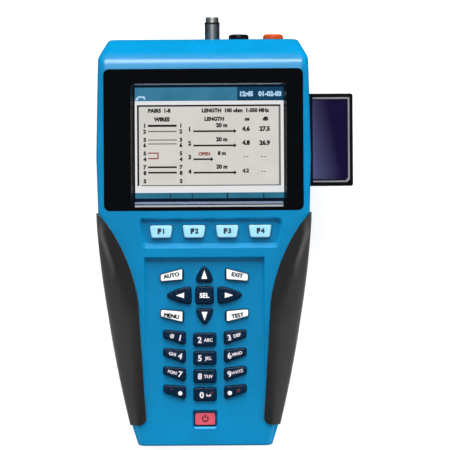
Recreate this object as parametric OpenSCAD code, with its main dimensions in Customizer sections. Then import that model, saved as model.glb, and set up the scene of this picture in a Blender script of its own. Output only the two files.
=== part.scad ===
// Handheld network cable tester: display, keypad, test sockets and a memory card in its side slot.
// It lies on its back: +Z leaves the display, +Y points to the connector end, +X to the card slot.
// The origin is the middle of the flat rear face. All sizes are in millimetres.

/* [Housing] */
// Depth from the rear face to the front face
body_depth = 44; // [43:0.5:48]
// Width of the connector end
end_w = 87.6; // [84:0.4:90]
// Width across the shoulders, where the top slope begins
shoulder_w = 97; // [94:0.5:98]
// Greatest width, beside the display
display_w = 99; // [97:0.2:104]
// Width where the grips begin
grip_top_w = 97.4; // [96:0.2:102]
// Width just above the foot
heel_w = 67.4; // [66:0.2:74]
// Width of the foot
foot_w = 61.5; // [60:0.5:66]
// Outward bow of each tapering side
palm_bow = 2.2; // [0.5:0.1:3]
// Length of the top slope, seen from the front
shoulder_drop = 9; // [7:0.5:11]
// Depth of the top slope
slope_depth = 13; // [11:0.5:15]
// Length of the foot below the tapering sides
heel_rise = 9.5; // [6:0.5:12]
// Length of the foot below the keypad recess
foot_margin = 6.4; // [5.8:0.1:8]
// Radius of the ridge between the front and the top slope
ridge_r = 11; // [6:0.5:11]
// Radius of the front edge beside the display
edge_r = 3.6; // [2.5:0.1:4.5]
// Radius of the front edge under the grips
palm_r = 13; // [8:0.5:14]
// Radius of the rear edge
rear_r = 5; // [4:0.5:7]
// Radius around the foot
foot_r = 1; // [0.6:0.1:2]
// Radius around the connector end
end_r = 1; // [0.6:0.1:2]
// Thickness of the side and rear walls
wall = 2.8; // [2.6:0.1:3.2]
// Thickness of the front wall
front_wall = 3.6; // [3.4:0.1:4]
// Height of the parting line above the rear face
part_z = 24; // [22:0.5:25]
// Height of the tongue that locates the two shells
tongue_h = 1.6; // [1:0.1:2.5]

/* [Display] */
// Width of the black bezel
bezel_w = 91.8; // [88:0.2:92]
// Thickness of the bezel
bezel_t = 1.8; // [1.4:0.1:2]
// Corner radius of the bezel
bezel_r = 2.6; // [1:0.2:4]
// Depth of the bezel face below the front face
bezel_sink = 0.2; // [0.1:0.1:0.4]
// Distance from the connector end to the top of the bezel
bezel_drop = 14.4; // [14:0.2:17]
// Width of the opening in the bezel
window_w = 71.8; // [70:0.2:75]
// Height of the opening in the bezel
window_h = 57; // [54:0.2:58]
// Height of the bezel above its opening
window_drop = 6.6; // [4:0.2:7]
// Height of the bezel below its opening
window_sill = 1.6; // [1.5:0.1:3]
// Sideways offset of the opening from the middle
display_x = 2.4; // [0:0.1:4]
// Width of the sloping lip above and beside the opening
lip = 1.1; // [0.6:0.1:1.6]
// Width of the sloping lip below the opening
lip_low = 2.6; // [1.2:0.1:3]
// Thickness of the clear window
window_t = 1.4; // [1:0.1:1.5]
// Overlap of the clear window behind the bezel
window_lap = 1.2; // [0.8:0.1:1.4]
// Thickness of the display module
lcd_t = 3.2; // [2.6:0.1:3.3]

/* [Soft keys] */
// Width of a soft key along its top edge
soft_w = 10.7; // [9:0.1:11.5]
// Narrowing of a soft key at each side
soft_taper = 1; // [0.4:0.1:1.6]
// Height of a soft key
soft_h = 5.7; // [5:0.1:6.5]
// Spacing of the soft keys
soft_pitch = 15.2; // [14:0.1:16]
// Sideways offset of the soft keys from the middle
soft_x = 3; // [0:0.1:4]
// Distance from the bezel to the middle of the soft keys
soft_drop = 9.6; // [9.4:0.1:11]
// Depth of the soft key channel
soft_sink = 1.8; // [1.2:0.1:2]
// Length of the soft key channel along its upper edge
soft_channel_w = 67.2; // [64:0.2:69]
// Narrowing of the soft key channel at each end
soft_channel_taper = 2.4; // [1:0.1:3]
// Height of the soft key channel
soft_channel_h = 14; // [12:0.2:14]

/* [Keypad] */
// Width of the keypad recess
recess_w = 55.6; // [52:0.2:56]
// Depth of the keypad recess at its upper end
recess_sink = 2.3; // [1.6:0.1:2.3]
// Distance from the middle of the soft keys down to the recess
recess_drop = 11.7; // [11:0.1:12.5]
// Length of the recess, where its floor has risen to the front face
recess_len = 80.5; // [80:0.5:84]
// Height of each key above the floor around it
key_rise = 1.7; // [1.2:0.1:2.2]
// Corner radius of the keys
key_r = 0.9; // [0.5:0.1:1]
// Bevel around the top of the keys
key_bevel = 0.5; // [0.3:0.05:0.7]
// Distance from the recess's upper end down to the select key
nav_drop = 17.7; // [17:0.1:18.4]
// Width and height of the select key
select_w = 8; // [7:0.1:8.2]
// Distance from the select key's middle to the arrow keys
arrow_reach = 6.2; // [6.2:0.05:6.5]
// Width of an arrow key
arrow_w = 7.5; // [6.5:0.1:7.6]
// Length of the up and down keys
arrow_len_v = 7.3; // [6:0.1:7.4]
// Length of the left and right keys
arrow_len_h = 11.7; // [9:0.1:11.8]
// Distance from the middle line to the inner end of a light key
light_in = 9.7; // [9.5:0.1:10.2]
// Length of a light key
light_len = 10.5; // [9:0.1:10.8]
// Height of a light key at its inner end
light_h_in = 5.1; // [4.5:0.1:5.4]
// Height of a light key at its outer end
light_h_out = 3.3; // [3:0.1:4]
// Distance of a light key from the select key's middle, at its inner end
light_reach = 7.3; // [7.2:0.05:7.6]
// Rise of a light key towards its inner end
light_slant = 0.9; // [0.4:0.1:1.2]
// Width of a middle number key
num_w = 10.2; // [9:0.1:10.6]
// Height of a number key
num_h = 5.8; // [5:0.1:5.9]
// Spacing of the number rows
num_pitch = 8.37; // [8.3:0.01:8.5]
// Distance from the select key to the first number row
num_drop = 20.4; // [20:0.1:20.6]
// Distance from the middle line to the inner end of a side number key
side_in = 9; // [8.6:0.1:9.2]
// Length of a side number key
side_len = 10; // [9:0.1:10.4]
// Height of a side number key at its outer end
side_h_out = 3.2; // [2.8:0.1:4]
// Lift of a side number key at its inner end
side_lift = 0.6; // [0.2:0.1:0.8]
// Further lift of a side number key at its outer end
side_sweep = 0.9; // [0.4:0.1:1.1]
// Width of the power key
power_w = 9.7; // [8:0.1:10.4]
// Height of the power key
power_h = 6; // [5:0.1:6.4]
// Distance from the last number row to the power key
power_drop = 11.5; // [11:0.1:11.8]
// Width of the pocket around the power key
pocket_w = 11.6; // [11.2:0.1:13]
// Depth of the pocket around the power key
pocket_sink = 1.9; // [1.2:0.1:2]
// Height of the power key above the floor of its pocket
power_rise = 0.6; // [0.4:0.1:1]
// Reach of the pocket above and below the power key
pocket_gap = 1.35; // [1.2:0.05:1.5]
// Travel of every key
key_travel = 0.9; // [0.5:0.1:1]
// Thickness of a key's retaining flange
flange_t = 1; // [0.8:0.1:1.1]
// Width of a key's retaining flange
flange_w = 0.9; // [0.8:0.05:0.95]
// Radius of the contact stem under a key
stem_r = 1.6; // [1.2:0.1:1.8]

/* [Grips] */
// Height of the grip's pointed upper end above the soft keys
grip_tip = 10.4; // [9:0.2:12]
// Distance from the soft keys down to the grip's broadest place
grip_waist = 38; // [36:0.5:40]
// Distance from the middle line to the grip's inner edge beside the arrow keys
grip_in = 30.2; // [30:0.1:31.5]
// Distance from the middle line to the grip's inner edge at its lower end
grip_in_low = 27; // [26.6:0.1:27.8]
// Distance from the foot to the grip's lower end
grip_foot = 9.6; // [8.6:0.2:12]
// Radius of the grip's lower corner
grip_r = 3.4; // [2:0.2:4]
// Rise of the grips above the housing
grip_proud = 0.9; // [0.3:0.1:1.2]
// Depth of the grips in the housing
grip_sink = 1.5; // [1.2:0.1:1.5]
// Height of the grips' lower edge above the rear face
grip_low = 6.5; // [6:0.5:9]

/* [Connectors] */
// Height of the connectors above the rear face
port_z = 13; // [12.6:0.1:13.4]
// Sideways place of the network jack
jack_x = -22; // [-24:0.5:-20]
// Width of the network jack
jack_w = 16; // [15.6:0.1:16.6]
// Height of the network jack
jack_h = 13.4; // [13:0.1:13.6]
// Length of the network jack
jack_len = 18; // [17:0.5:20]
// Width of the plug opening
plug_w = 11.8; // [11.7:0.05:12]
// Height of the plug opening
plug_h = 6.8; // [6.7:0.05:7]
// Depth of the plug opening
plug_len = 14; // [13:0.5:15]
// Width of the latch slot under the plug opening
latch_w = 6.3; // [6.1:0.1:6.6]
// Height of the latch slot
latch_h = 2.2; // [1.8:0.1:2.4]
// Sideways place of the coax jack
coax_x = 4.2; // [2:0.1:4.5]
// Radius of the coax barrel
coax_r = 3.5; // [3.2:0.05:3.8]
// Length of the coax barrel outside the housing
coax_len = 11.3; // [10:0.1:13]
// Length of the narrow nose at the coax mouth
nose_len = 2.3; // [1.8:0.1:3]
// Step from the coax barrel to its nose
nose_step = 0.45; // [0.4:0.05:0.55]
// Sideways place of the black socket
black_x = 16.6; // [15.5:0.1:17]
// Sideways place of the red socket
red_x = 32.8; // [32:0.1:33]
// Radius of the socket collars
collar_r = 4.7; // [4.4:0.05:4.9]
// Length of the socket collars outside the housing
collar_len = 3.1; // [3:0.1:5]
// Radius of the sockets' bores
socket_r = 2; // [1.95:0.05:2.1]
// Depth of the sockets' bores
socket_len = 18; // [15:0.5:19]

/* [Memory card] */
// Height of the card, along the housing
card_h = 42.8; // [40:0.2:43.4]
// Length of the card, across the housing
card_len = 36.4; // [34:0.2:38]
// Thickness of the card
card_t = 3.3; // [3:0.1:3.5]
// Height of the card's middle above the middle of the display
card_lift = 2.4; // [1:0.1:3]
// Length of the card that stands out of the slot as it is seen
card_out = 19.8; // [17:0.2:20.4]
// Length of the card that stays outside when it is pushed home
card_home = 5; // [4:0.2:6]
// Thickness of the socket rails
rail_t = 1.6; // [1.2:0.1:1.8]

/* [Boards and battery] */
// Thickness of the circuit boards
board_t = 1.6; // [1.2:0.1:1.8]
// Greatest half width of the main board
board_half = 36; // [35.6:0.1:36.4]
// Distance of the main board from the connector end
board_in = 20; // [19:0.5:22]
// Length of the connector board
io_len = 29.5; // [28:0.5:31]
// Distance of the connector board from the connector end
io_in = 3.5; // [3.2:0.1:4]
// Distance of the connector board from the sides of the connector end
io_side = 7.4; // [6.6:0.1:8]
// Width of the flat cable between the boards
ribbon_w = 16; // [12:0.5:18]
// Length that the flat cable crosses along the housing
ribbon_reach = 18; // [15:0.5:20]
// Height of the components on the boards
part_h = 3.45; // [2.5:0.05:3.5]
// Thickness of the keypad mat
mat_t = 1.2; // [0.8:0.1:1.2]
// Radius of the round cells
cell_r = 7.2; // [6.8:0.05:7.25]
// Length of the round cells
cell_len = 50.5; // [48:0.5:51]
// Distance from the middle of the housing down to the battery bay
bay_drop = 21.5; // [21:0.5:23]
// Thickness of the bay's walls
bay_wall = 1.8; // [1.5:0.1:2]
// Thickness of the battery cover
cover_t = 2.1; // [1.8:0.1:2.2]
// Depth of the cover below the rear face
cover_sink = 0.2; // [0.1:0.05:0.3]
// Radius of the buzzer
buzzer_r = 6; // [5:0.5:7]

/* [Fasteners] */
// Radius of the case screws
screw_r = 1.45; // [1.2:0.05:1.5]
// Radius of the case screw heads
head_r = 2.7; // [2.4:0.05:2.75]
// Radius of the screw posts
post_r = 3.2; // [3:0.1:3.4]
// Radius of the board screws
small_r = 1.05; // [0.9:0.05:1.15]
// Radius of the board screw heads
small_head_r = 2; // [1.8:0.1:2.1]
// Height of the board screw heads
small_head_h = 1.4; // [1.2:0.05:1.4]
// Length of the board screws in their posts
small_bite = 2.6; // [2:0.1:2.8]
// Length of the battery cover's screws
cover_screw_len = 8; // [6:0.5:8]
// Distance of the case screws from the sides
post_in = 8.2; // [8:0.1:8.6]

/* [Clearances] */
// Gap around each key
key_gap = 0.3; // [0.25:0.05:0.35]
// Gap around parts that are laid in
fit_gap = 0.1; // [0.05:0.05:0.15]
// Gap around the sliding card
card_gap = 0.3; // [0.3:0.05:0.4]

/* [Hidden] */
$fn = 48;
eps = 0.01;
out = 60;

bezel_h = window_drop + window_h + window_sill;
body_len = bezel_drop + bezel_h + soft_drop + recess_drop + recess_len + foot_margin;
y_end = body_len / 2;
y_foot = -body_len / 2;
y_shoulder = y_end - shoulder_drop;
y_heel = y_foot + heel_rise;
y_bezel = y_end - bezel_drop;
y_window = y_bezel - window_drop - window_h / 2;
y_soft = y_bezel - bezel_h - soft_drop;
y_recess = y_soft - recess_drop;
y_nav = y_recess - nav_drop;
y_card = y_window + card_lift;
y_tip = y_soft + grip_tip;
grip_y = y_tip - 5.6;
wide_y = y_window - 5.1;
slope_angle = atan2(slope_depth, shoulder_drop);
ridge_tangent = ridge_r * tan(slope_angle / 2);
ridge_y0 = y_shoulder - ridge_tangent;
ridge_y1 = y_shoulder + ridge_tangent * cos(slope_angle);

ceiling_z = body_depth - front_wall;
flange_z = ceiling_z - 0.25;
mat_z = flange_z - flange_t - key_travel - 0.3;
board_z = mat_z - mat_t;
stem_z = board_z + key_travel + 0.1;
board_low = board_z - board_t;
window_z = body_depth - bezel_sink - bezel_t - fit_gap - window_t;
card_z = board_low - card_t / 2 - 1.3;
io_z = port_z - jack_h / 2;
cell_z = cover_sink + cover_t + fit_gap + cell_r;
cell_pitch = 2 * cell_r + 0.5;
bay_half = 2 * cell_pitch + 0.5;
bay_len = cell_len + 2.4;
bay_top = cell_z + cell_r + 0.4;
cover_y0 = -bay_drop - bay_len - 8;
cover_y1 = -bay_drop + 8;
cover_half = bay_half + bay_wall;
pad_half = max(side_in + side_len, light_in + light_len) + 1.3;

// Places of the screws, given for the right side
case_screw_places = [
    [bezel_w / 2 - post_r - 0.6, y_bezel - 0.9],
    [grip_top_w / 2 - post_in, y_soft - 2],
    [heel_w / 2 - post_in - 0.2, y_heel - 2.2]];
board_screw_places = [
    [board_half - 2.6, y_recess - 5.7],
    [pad_half + 2.6, y_heel + 8.5]];
io_half = end_w / 2 - io_side;
io_screw_places = [
    [io_half - 2.9, y_end - io_in - 10.5],
    [io_half - 2.9, y_end - io_in - io_len + 4]];
cover_screw_places = [
    [bay_half - 6, -bay_drop + 4.4],
    [bay_half / 2 - 1, -bay_drop - bay_len - 4.4]];

// Half width of the bare outline at a place along the housing
function palm(y) = let (s = (grip_y - y) / (grip_y - y_heel))
    (grip_top_w * (1 - s) + heel_w * s) / 2 + palm_bow * 4 * s * (1 - s);
function base_half(y) = y < y_heel
    ? lookup(y, [[y_foot, foot_w / 2], [y_heel, heel_w / 2]])
    : y < grip_y
    ? palm(y)
    : lookup(y, [
        [grip_y, grip_top_w / 2],
        [wide_y, display_w / 2],
        [y_shoulder, shoulder_w / 2],
        [y_end, end_w / 2]]);

// Inset of the rounded ends, for a surface that lies t inside the housing
function arc_in(r, d) = d > 0 && r > 0 ? r - sqrt(max(0, r * r - d * d)) : 0;
function inner_r(r, t) = max(r - t, 0);
function end_in(y, t) =
    arc_in(inner_r(foot_r, t), y_foot + t + inner_r(foot_r, t) - y)
    + arc_in(inner_r(end_r, t), y - y_end + t + inner_r(end_r, t));

// Height and steepness of the front surface along the middle line
function front_line(y) = y <= ridge_y0
    ? body_depth
    : y < ridge_y1
    ? body_depth - ridge_r + sqrt(ridge_r * ridge_r - pow(y - ridge_y0, 2))
    : body_depth - (y - y_shoulder) * slope_depth / shoulder_drop;
function steep(y) = y <= ridge_y0
    ? 0
    : y < ridge_y1
    ? (y - ridge_y0) / sqrt(ridge_r * ridge_r - pow(y - ridge_y0, 2))
    : slope_depth / shoulder_drop;

// Radius of the front edge, which grows under the grips
function palm_edge(y) = min(palm_r, max(edge_r, base_half(y) - grip_in));
function front_r(y) = lookup(y, [[grip_y - 42, palm_edge(y)], [grip_y - 12, edge_r]]);

function half_at(y, t) = base_half(y) - t - end_in(y, t);
function front_at(y, t, tf) = front_line(y) - tf * sqrt(1 + pow(steep(y), 2)) - end_in(y, t);
function mirrored(p) = [for (i = [len(p) - 1:-1:0]) [-p[i][0], p[i][1]]];

// Right half of a cross-section: up the side and over the rounded edge
function front_arc(y, t, tf) = let (
    w = half_at(y, t),
    z = front_at(y, t, tf),
    r = max(front_r(y) - t, 0.6))
    [for (i = [0:8]) [w - r + r * cos(i * 11.25), z - r + r * sin(i * 11.25)]];
function rear_arc(y, t) = let (
    w = half_at(y, t),
    z = t + end_in(y, t),
    r = max(rear_r - t, 0.6))
    [for (i = [0:5]) [w - r + r * cos(i * 18), z + r - r * sin(i * 18)]];
function front_section(y, t, tf, z0) = let (
    half = concat([[half_at(y, t), z0]], front_arc(y, t, tf)))
    concat(half, mirrored(half));
function rear_section(y, t, z1) = let (
    half = concat([[half_at(y, t), z1]], rear_arc(y, t)),
    other = mirrored(half))
    [for (i = [2 * len(half) - 1:-1:0]) i < len(half) ? half[i] : other[i - len(half)]];
function grip_section(y, t, z0) = concat(
    [[20, z0], [half_at(y, t), z0]],
    front_arc(y, t, t),
    [[20, front_at(y, t, t)]]);

// Places along the housing where cross-sections are taken
function foot_stations(t) = let (r = inner_r(foot_r, t))
    r > 0.2 ? [for (i = [0:3]) y_foot + t + r * (1 - cos(i * 30))] : [y_foot + t];
function palm_stations() = [for (i = [0:13]) y_heel + (grip_y - y_heel) * i / 13];
function ridge_stations() = [for (i = [0:6]) ridge_y0 + ridge_r * sin(slope_angle * i / 6)];
function end_stations(t) = let (r = inner_r(end_r, t))
    r > 0.2 ? [for (i = [0:2]) y_end - t - r * (1 - sin(i * 45))] : [y_end - t];
function stations(t) = concat(
    foot_stations(t), palm_stations(), [wide_y, ridge_y0 - 20], ridge_stations(), end_stations(t));

// Solid skin through a row of equal cross-sections
module loft(ys, sections) {
    n = len(sections[0]);
    last = len(ys) - 1;
    polyhedron(
        points = [for (k = [0:last]) for (p = sections[k]) [p[0], ys[k], p[1]]],
        faces = concat(
            [[for (j = [n - 1:-1:0]) j]],
            [[for (j = [0:n - 1]) last * n + j]],
            [for (k = [0:last - 1]) for (j = [0:n - 1])
                [k * n + j, k * n + (j + 1) % n, (k + 1) * n + (j + 1) % n]],
            [for (k = [0:last - 1]) for (j = [0:n - 1])
                [k * n + j, (k + 1) * n + (j + 1) % n, (k + 1) * n + j]]));
}

module front_solid(t, tf, z0) {
    ys = stations(t);
    loft(ys, [for (y = ys) front_section(y, t, tf, z0)]);
}

module rear_solid(t, z1) {
    ys = stations(t);
    loft(ys, [for (y = ys) rear_section(y, t, z1)]);
}

module grip_solid(t, z0) {
    ys = concat([y_heel - 3], palm_stations(), [grip_y + 9]);
    loft(ys, [for (y = ys) grip_section(y, t, z0)]);
}

module outline(t) {
    half = [for (y = stations(t)) [half_at(y, t), y]];
    polygon(concat(half, mirrored(half)));
}

module rounded(w, h, r) {
    offset(r = r)
        square([w - 2 * r, h - 2 * r], center = true);
}

module both_sides() {
    children();
    mirror([1, 0, 0])
        children();
}

module at_places(places, z) {
    for (p = places)
        for (s = [-1, 1])
            translate([s * p[0], p[1], z])
                children();
}

// Round part standing along the housing at a connector, with y counted from the connector end
module along_port(x) {
    translate([x, y_end, port_z])
        rotate([-90, 0, 0])
            children();
}

// Outline of the right grip, seen from the front
function bezier(a, b, c, d, s) =
    a * pow(1 - s, 3) + b * 3 * s * pow(1 - s, 2) + c * 3 * s * s * (1 - s) + d * pow(s, 3);
module grip_region(grow) {
    tip = [base_half(grip_y) + 3.3, y_tip];
    waist = [grip_in, y_soft - grip_waist];
    edge = [for (i = [0:12])
        bezier(tip, [grip_in + 12.5, y_tip - 4.8], [grip_in, y_tip - 30], waist, i / 12)];
    offset(delta = grow)
        offset(r = grip_r)
            offset(delta = -grip_r)
                polygon(concat(
                    edge,
                    [[grip_in_low, y_foot + grip_foot], [out, y_foot + grip_foot], [out, y_tip]]));
}

module grip() {
    difference() {
        intersection() {
            grip_solid(-grip_proud, grip_low);
            linear_extrude(out)
                grip_region(0);
        }
        grip_solid(grip_sink - fit_gap, grip_low - 1);
    }
}

module grip_pocket() {
    difference() {
        translate([0, 0, grip_low - fit_gap])
            linear_extrude(out)
                grip_region(fit_gap);
        grip_solid(grip_sink, grip_low - 1);
    }
}

// Outlines of the keys, each about its own middle point
function soft_shape() = [
    [-soft_w / 2, soft_h / 2],
    [-soft_w / 2 + soft_taper, -soft_h / 2],
    [soft_w / 2 - soft_taper, -soft_h / 2],
    [soft_w / 2, soft_h / 2]];
function box_shape(w, h) = [[-w / 2, h / 2], [-w / 2, -h / 2], [w / 2, -h / 2], [w / 2, h / 2]];
function arrow_edge(len, s) = [for (i = [0:6]) [s * arrow_w / 2 * (1 - pow(i / 6, 2)), len * i / 6]];
function arrow_shape(len) = let (left = arrow_edge(len, -1), right = arrow_edge(len, 1))
    concat([for (i = [6:-1:0]) left[i]], [for (i = [0:5]) right[i]]);
function light_shape() = [
    [light_in, light_reach],
    [light_in + light_len, light_reach - light_slant],
    [light_in + light_len, light_reach - light_slant + light_h_out],
    [light_in, light_reach + light_h_in]];
function side_shape() = [
    [side_in, -num_h / 2 + side_lift],
    [side_in + side_len, num_h / 2 + side_lift + side_sweep - side_h_out],
    [side_in + side_len, num_h / 2 + side_lift + side_sweep],
    [side_in, num_h / 2 + side_lift]];
function turned(p, a) = [for (q = p) [q[0] * cos(a) - q[1] * sin(a), q[0] * sin(a) + q[1] * cos(a)]];
function moved(p, v) = [for (q = p) q + v];
function flipped(p, sx, sy) = let (q = [for (v = p) [v[0] * sx, v[1] * sy]])
    sx * sy > 0 ? q : [for (i = [len(q) - 1:-1:0]) q[i]];

// Outlines of the keys in their places
select_at = [0, y_nav];
function soft_key(i) = moved(soft_shape(), [soft_x + (i - 1.5) * soft_pitch, y_soft]);
function arrow_key(i) = moved(
    turned(moved(arrow_shape(i < 2 ? arrow_len_v : arrow_len_h), [0, arrow_reach]), [0, 180, 90, -90][i]),
    select_at);
function light_key(i) = moved(flipped(light_shape(), i % 2 == 0 ? -1 : 1, i < 2 ? 1 : -1), select_at);
function num_row(i) = select_at - [0, num_drop + floor(i / 3) * num_pitch];
function num_key(i) = moved(
    i % 3 == 1 ? box_shape(num_w, num_h) : flipped(side_shape(), i % 3 == 0 ? -1 : 1, 1),
    num_row(i));
select_key = moved(box_shape(select_w, select_w * 0.96), select_at);
power_at = num_row(9) - [0, power_drop];
power_key = moved(box_shape(power_w, power_h), power_at);
ARROWS = ["nav_up", "nav_down", "nav_left", "nav_right"];
NUMBERS = [
    "key_1", "key_2", "key_3", "key_4", "key_5", "key_6",
    "key_7", "key_8", "key_9", "key_star", "key_0", "key_hash"];
ALL_KEYS = concat(
    [for (i = [0:3]) soft_key(i)],
    [for (i = [0:3]) arrow_key(i)],
    [select_key],
    [for (i = [0:3]) light_key(i)],
    [for (i = [0:11]) num_key(i)],
    [power_key]);

function middle(p) = let (
    xs = [for (q = p) q[0]],
    ys = [for (q = p) q[1]])
    [(max(xs) + min(xs)) / 2, (max(ys) + min(ys)) / 2];
function floor_z(y) = body_depth - recess_sink * max(0, 1 + (y - y_recess) / recess_len);
pocket_z = floor_z(power_at[1]) - pocket_sink;

module rounded_plan(p, r) {
    offset(r = r)
        offset(delta = -r)
            polygon(p);
}

module key_outline(p, grow) {
    offset(delta = grow)
        rounded_plan(p, key_r);
}

// A key: bevelled cap, shaft, retaining flange and contact stem
module key(p, base_z, rise) {
    c = middle(p);
    top = base_z + rise;
    hull() {
        translate([0, 0, flange_z - eps])
            linear_extrude(top - key_bevel - flange_z + eps)
                key_outline(p, 0, $fn = 24);
        translate([0, 0, top - key_bevel * 0.3])
            linear_extrude(eps)
                key_outline(p, -key_bevel * 0.35, $fn = 24);
        translate([0, 0, top - eps])
            linear_extrude(eps)
                key_outline(p, -key_bevel, $fn = 24);
    }
    translate([0, 0, flange_z - flange_t])
        linear_extrude(flange_t)
            key_outline(p, flange_w);
    translate([c[0], c[1], stem_z])
        cylinder(r = stem_r, h = flange_z - flange_t - stem_z + 0.5);
}

module pad_key(p) {
    key(p, floor_z(middle(p)[1]), key_rise);
}

// Recess whose floor rises to the front face at its lower end
module keypad_recess() {
    w = recess_w / 2;
    hull() {
        translate([-w + 1, y_recess - 1.2, body_depth - recess_sink])
            cube([2 * w - 2, 0.4, 4]);
        translate([-w, y_recess - 0.4, body_depth - 0.3])
            cube([2 * w, 0.4, 2]);
        translate([-w, y_recess - recess_len, body_depth])
            cube([2 * w, 0.4, 2]);
    }
}

// Channel of the soft keys, narrower below and with a sloping lower wall
function channel_shape(w, h) = [
    [-w / 2, h / 2],
    [-w / 2 + soft_channel_taper, -h / 2],
    [w / 2 - soft_channel_taper, -h / 2],
    [w / 2, h / 2]];
module soft_channel() {
    w = soft_channel_w;
    h = soft_channel_h;
    translate([soft_x, y_soft - 0.7, body_depth - soft_sink])
        hull() {
            translate([0, 0.6, 0])
                linear_extrude(eps)
                    rounded_plan(channel_shape(w - 2.6, h - 3.4), 1.4, $fn = 24);
            translate([0, 0, soft_sink])
                linear_extrude(1)
                    rounded_plan(channel_shape(w, h), 2.2, $fn = 24);
        }
}

// Pocket of the power key, with a steep upper wall and a sloping lower wall
module power_pocket() {
    h = power_h + 2 * pocket_gap;
    translate([power_at[0], power_at[1], pocket_z])
        hull() {
            translate([0, 0.4, 0])
                linear_extrude(eps)
                    rounded(pocket_w - 0.6, h - 1.2, 0.8, $fn = 24);
            translate([0, 0, pocket_sink + 0.2])
                linear_extrude(1)
                    rounded(pocket_w, h, 1.2, $fn = 24);
        }
}

// Ring that stands on the rear shell's rim and enters the front shell
module tongue(grow, inner, h) {
    linear_extrude(h)
        difference() {
            outline(grip_sink + 0.35 - grow);
            outline(inner);
        }
}

module card_slot(grow) {
    translate([base_half(y_card) - 12, y_card, card_z])
        rotate([90, 0, 90])
            linear_extrude(24)
                rounded(card_h + 2 * grow, card_t + 2 * grow, 0.6 + grow / 2);
}

module front_shell() {
    color([0.05, 0.5, 0.75])
    difference() {
        union() {
            difference() {
                front_solid(0, 0, part_z);
                front_solid(wall, front_wall, part_z - 2);
            }
            at_places([case_screw_places[0]], part_z)
                cylinder(r = post_r, h = ceiling_z - part_z + 0.6);
            at_places([case_screw_places[1]], part_z)
                cylinder(r = post_r, h = ceiling_z - part_z + 0.4);
            at_places([case_screw_places[2]], part_z)
                cylinder(r = post_r, h = ceiling_z - part_z + 0.5);
            at_places(board_screw_places, board_z)
                cylinder(r = 2.4, h = ceiling_z - board_z + 0.5);
        }
        translate([0, 0, part_z - 2])
            tongue(fit_gap, wall + 0.4, tongue_h + 2 + fit_gap);
        both_sides()
            grip_pocket();
        translate([0, y_bezel - bezel_h / 2, body_depth - bezel_sink - bezel_t])
            linear_extrude(10)
                rounded(bezel_w + 2 * fit_gap, bezel_h + 2 * fit_gap, bezel_r + fit_gap);
        translate([display_x, y_window, ceiling_z - 1])
            linear_extrude(10)
                rounded(window_w + 2 * window_lap + 2 * fit_gap, window_h + 2 * window_lap + 2 * fit_gap, 1);
        soft_channel();
        keypad_recess();
        power_pocket();
        translate([0, 0, ceiling_z - 1])
            linear_extrude(10)
                for (p = ALL_KEYS)
                    key_outline(p, key_gap);
        card_slot(card_gap);
        at_places(case_screw_places, part_z - 1)
            cylinder(r = screw_r + 0.05, h = 13);
        at_places(board_screw_places, board_z - 1)
            cylinder(r = small_r + 0.05, h = small_bite + 2);
    }
}

module rear_shell() {
    color([0.05, 0.48, 0.72])
    difference() {
        union() {
            difference() {
                rear_solid(0, part_z);
                rear_solid(wall, part_z + 2);
            }
            translate([0, 0, part_z - 3])
                tongue(0, wall - 0.25, tongue_h + 3);
            at_places(case_screw_places, 1)
                cylinder(r = post_r, h = part_z - 1 - fit_gap);
            at_places(io_screw_places, 1)
                cylinder(r = 2.4, h = io_z - board_t - 1);
            at_places(cover_screw_places, 1)
                cylinder(r = 2.8, h = 11);
            translate([-cover_half, -bay_drop - bay_len - bay_wall, 1])
                cube([2 * cover_half, bay_len + 2 * bay_wall, bay_top + bay_wall - 1]);
        }
        both_sides()
            grip_pocket();
        translate([-bay_half, -bay_drop - bay_len, -1])
            cube([2 * bay_half, bay_len, bay_top + 1]);
        translate([0, (cover_y0 + cover_y1) / 2, -1])
            linear_extrude(1 + cover_sink + cover_t)
                rounded(2 * cover_half + 2 * fit_gap, cover_y1 - cover_y0 + 2 * fit_gap, 2);
        at_places(cover_screw_places, 0)
            cylinder(r = small_r + 0.05, h = 9);
        at_places(case_screw_places, -1)
            cylinder(r = screw_r + 0.25, h = part_z + 2);
        at_places(case_screw_places, -1)
            cylinder(r = head_r + 0.2, h = 3.6);
        at_places(io_screw_places, io_z - board_t - 3)
            cylinder(r = small_r + 0.05, h = 10);
        translate([jack_x - jack_w / 2 - fit_gap, y_end - 8, io_z - fit_gap])
            cube([jack_w + 2 * fit_gap, 12, jack_h + 2 * fit_gap]);
        along_port(coax_x)
            cylinder(r = coax_r + fit_gap, h = 40, center = true);
        along_port(black_x)
            cylinder(r = collar_r - 0.7 + fit_gap, h = 40, center = true);
        along_port(red_x)
            cylinder(r = collar_r - 0.7 + fit_gap, h = 40, center = true);
    }
}

module grip_left() {
    color([0.16, 0.16, 0.17])
        mirror([1, 0, 0])
            grip();
}

module grip_right() {
    color([0.16, 0.16, 0.17])
        grip();
}

module display_bezel() {
    z = body_depth - bezel_sink - bezel_t;
    inner_w = window_w - 2 * lip;
    inner_h = window_h - lip - lip_low;
    inner_y = y_window + (lip_low - lip) / 2;
    color([0.03, 0.03, 0.04])
    difference() {
        translate([0, y_bezel - bezel_h / 2, z])
            linear_extrude(bezel_t)
                rounded(bezel_w, bezel_h, bezel_r);
        hull() {
            translate([display_x, inner_y, z - eps])
                linear_extrude(eps)
                    rounded(inner_w, inner_h, 1, $fn = 24);
            translate([display_x, y_window, z + bezel_t])
                linear_extrude(1)
                    rounded(window_w, window_h, 1 + lip, $fn = 24);
        }
        translate([display_x, inner_y, z - 1])
            linear_extrude(1.3)
                rounded(inner_w, inner_h, 1);
    }
}

module display_window() {
    color([0.75, 0.82, 0.86, 0.4])
        translate([display_x, y_window, window_z])
            linear_extrude(window_t)
                rounded(window_w + 2 * window_lap, window_h + 2 * window_lap, 1);
}

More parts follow.
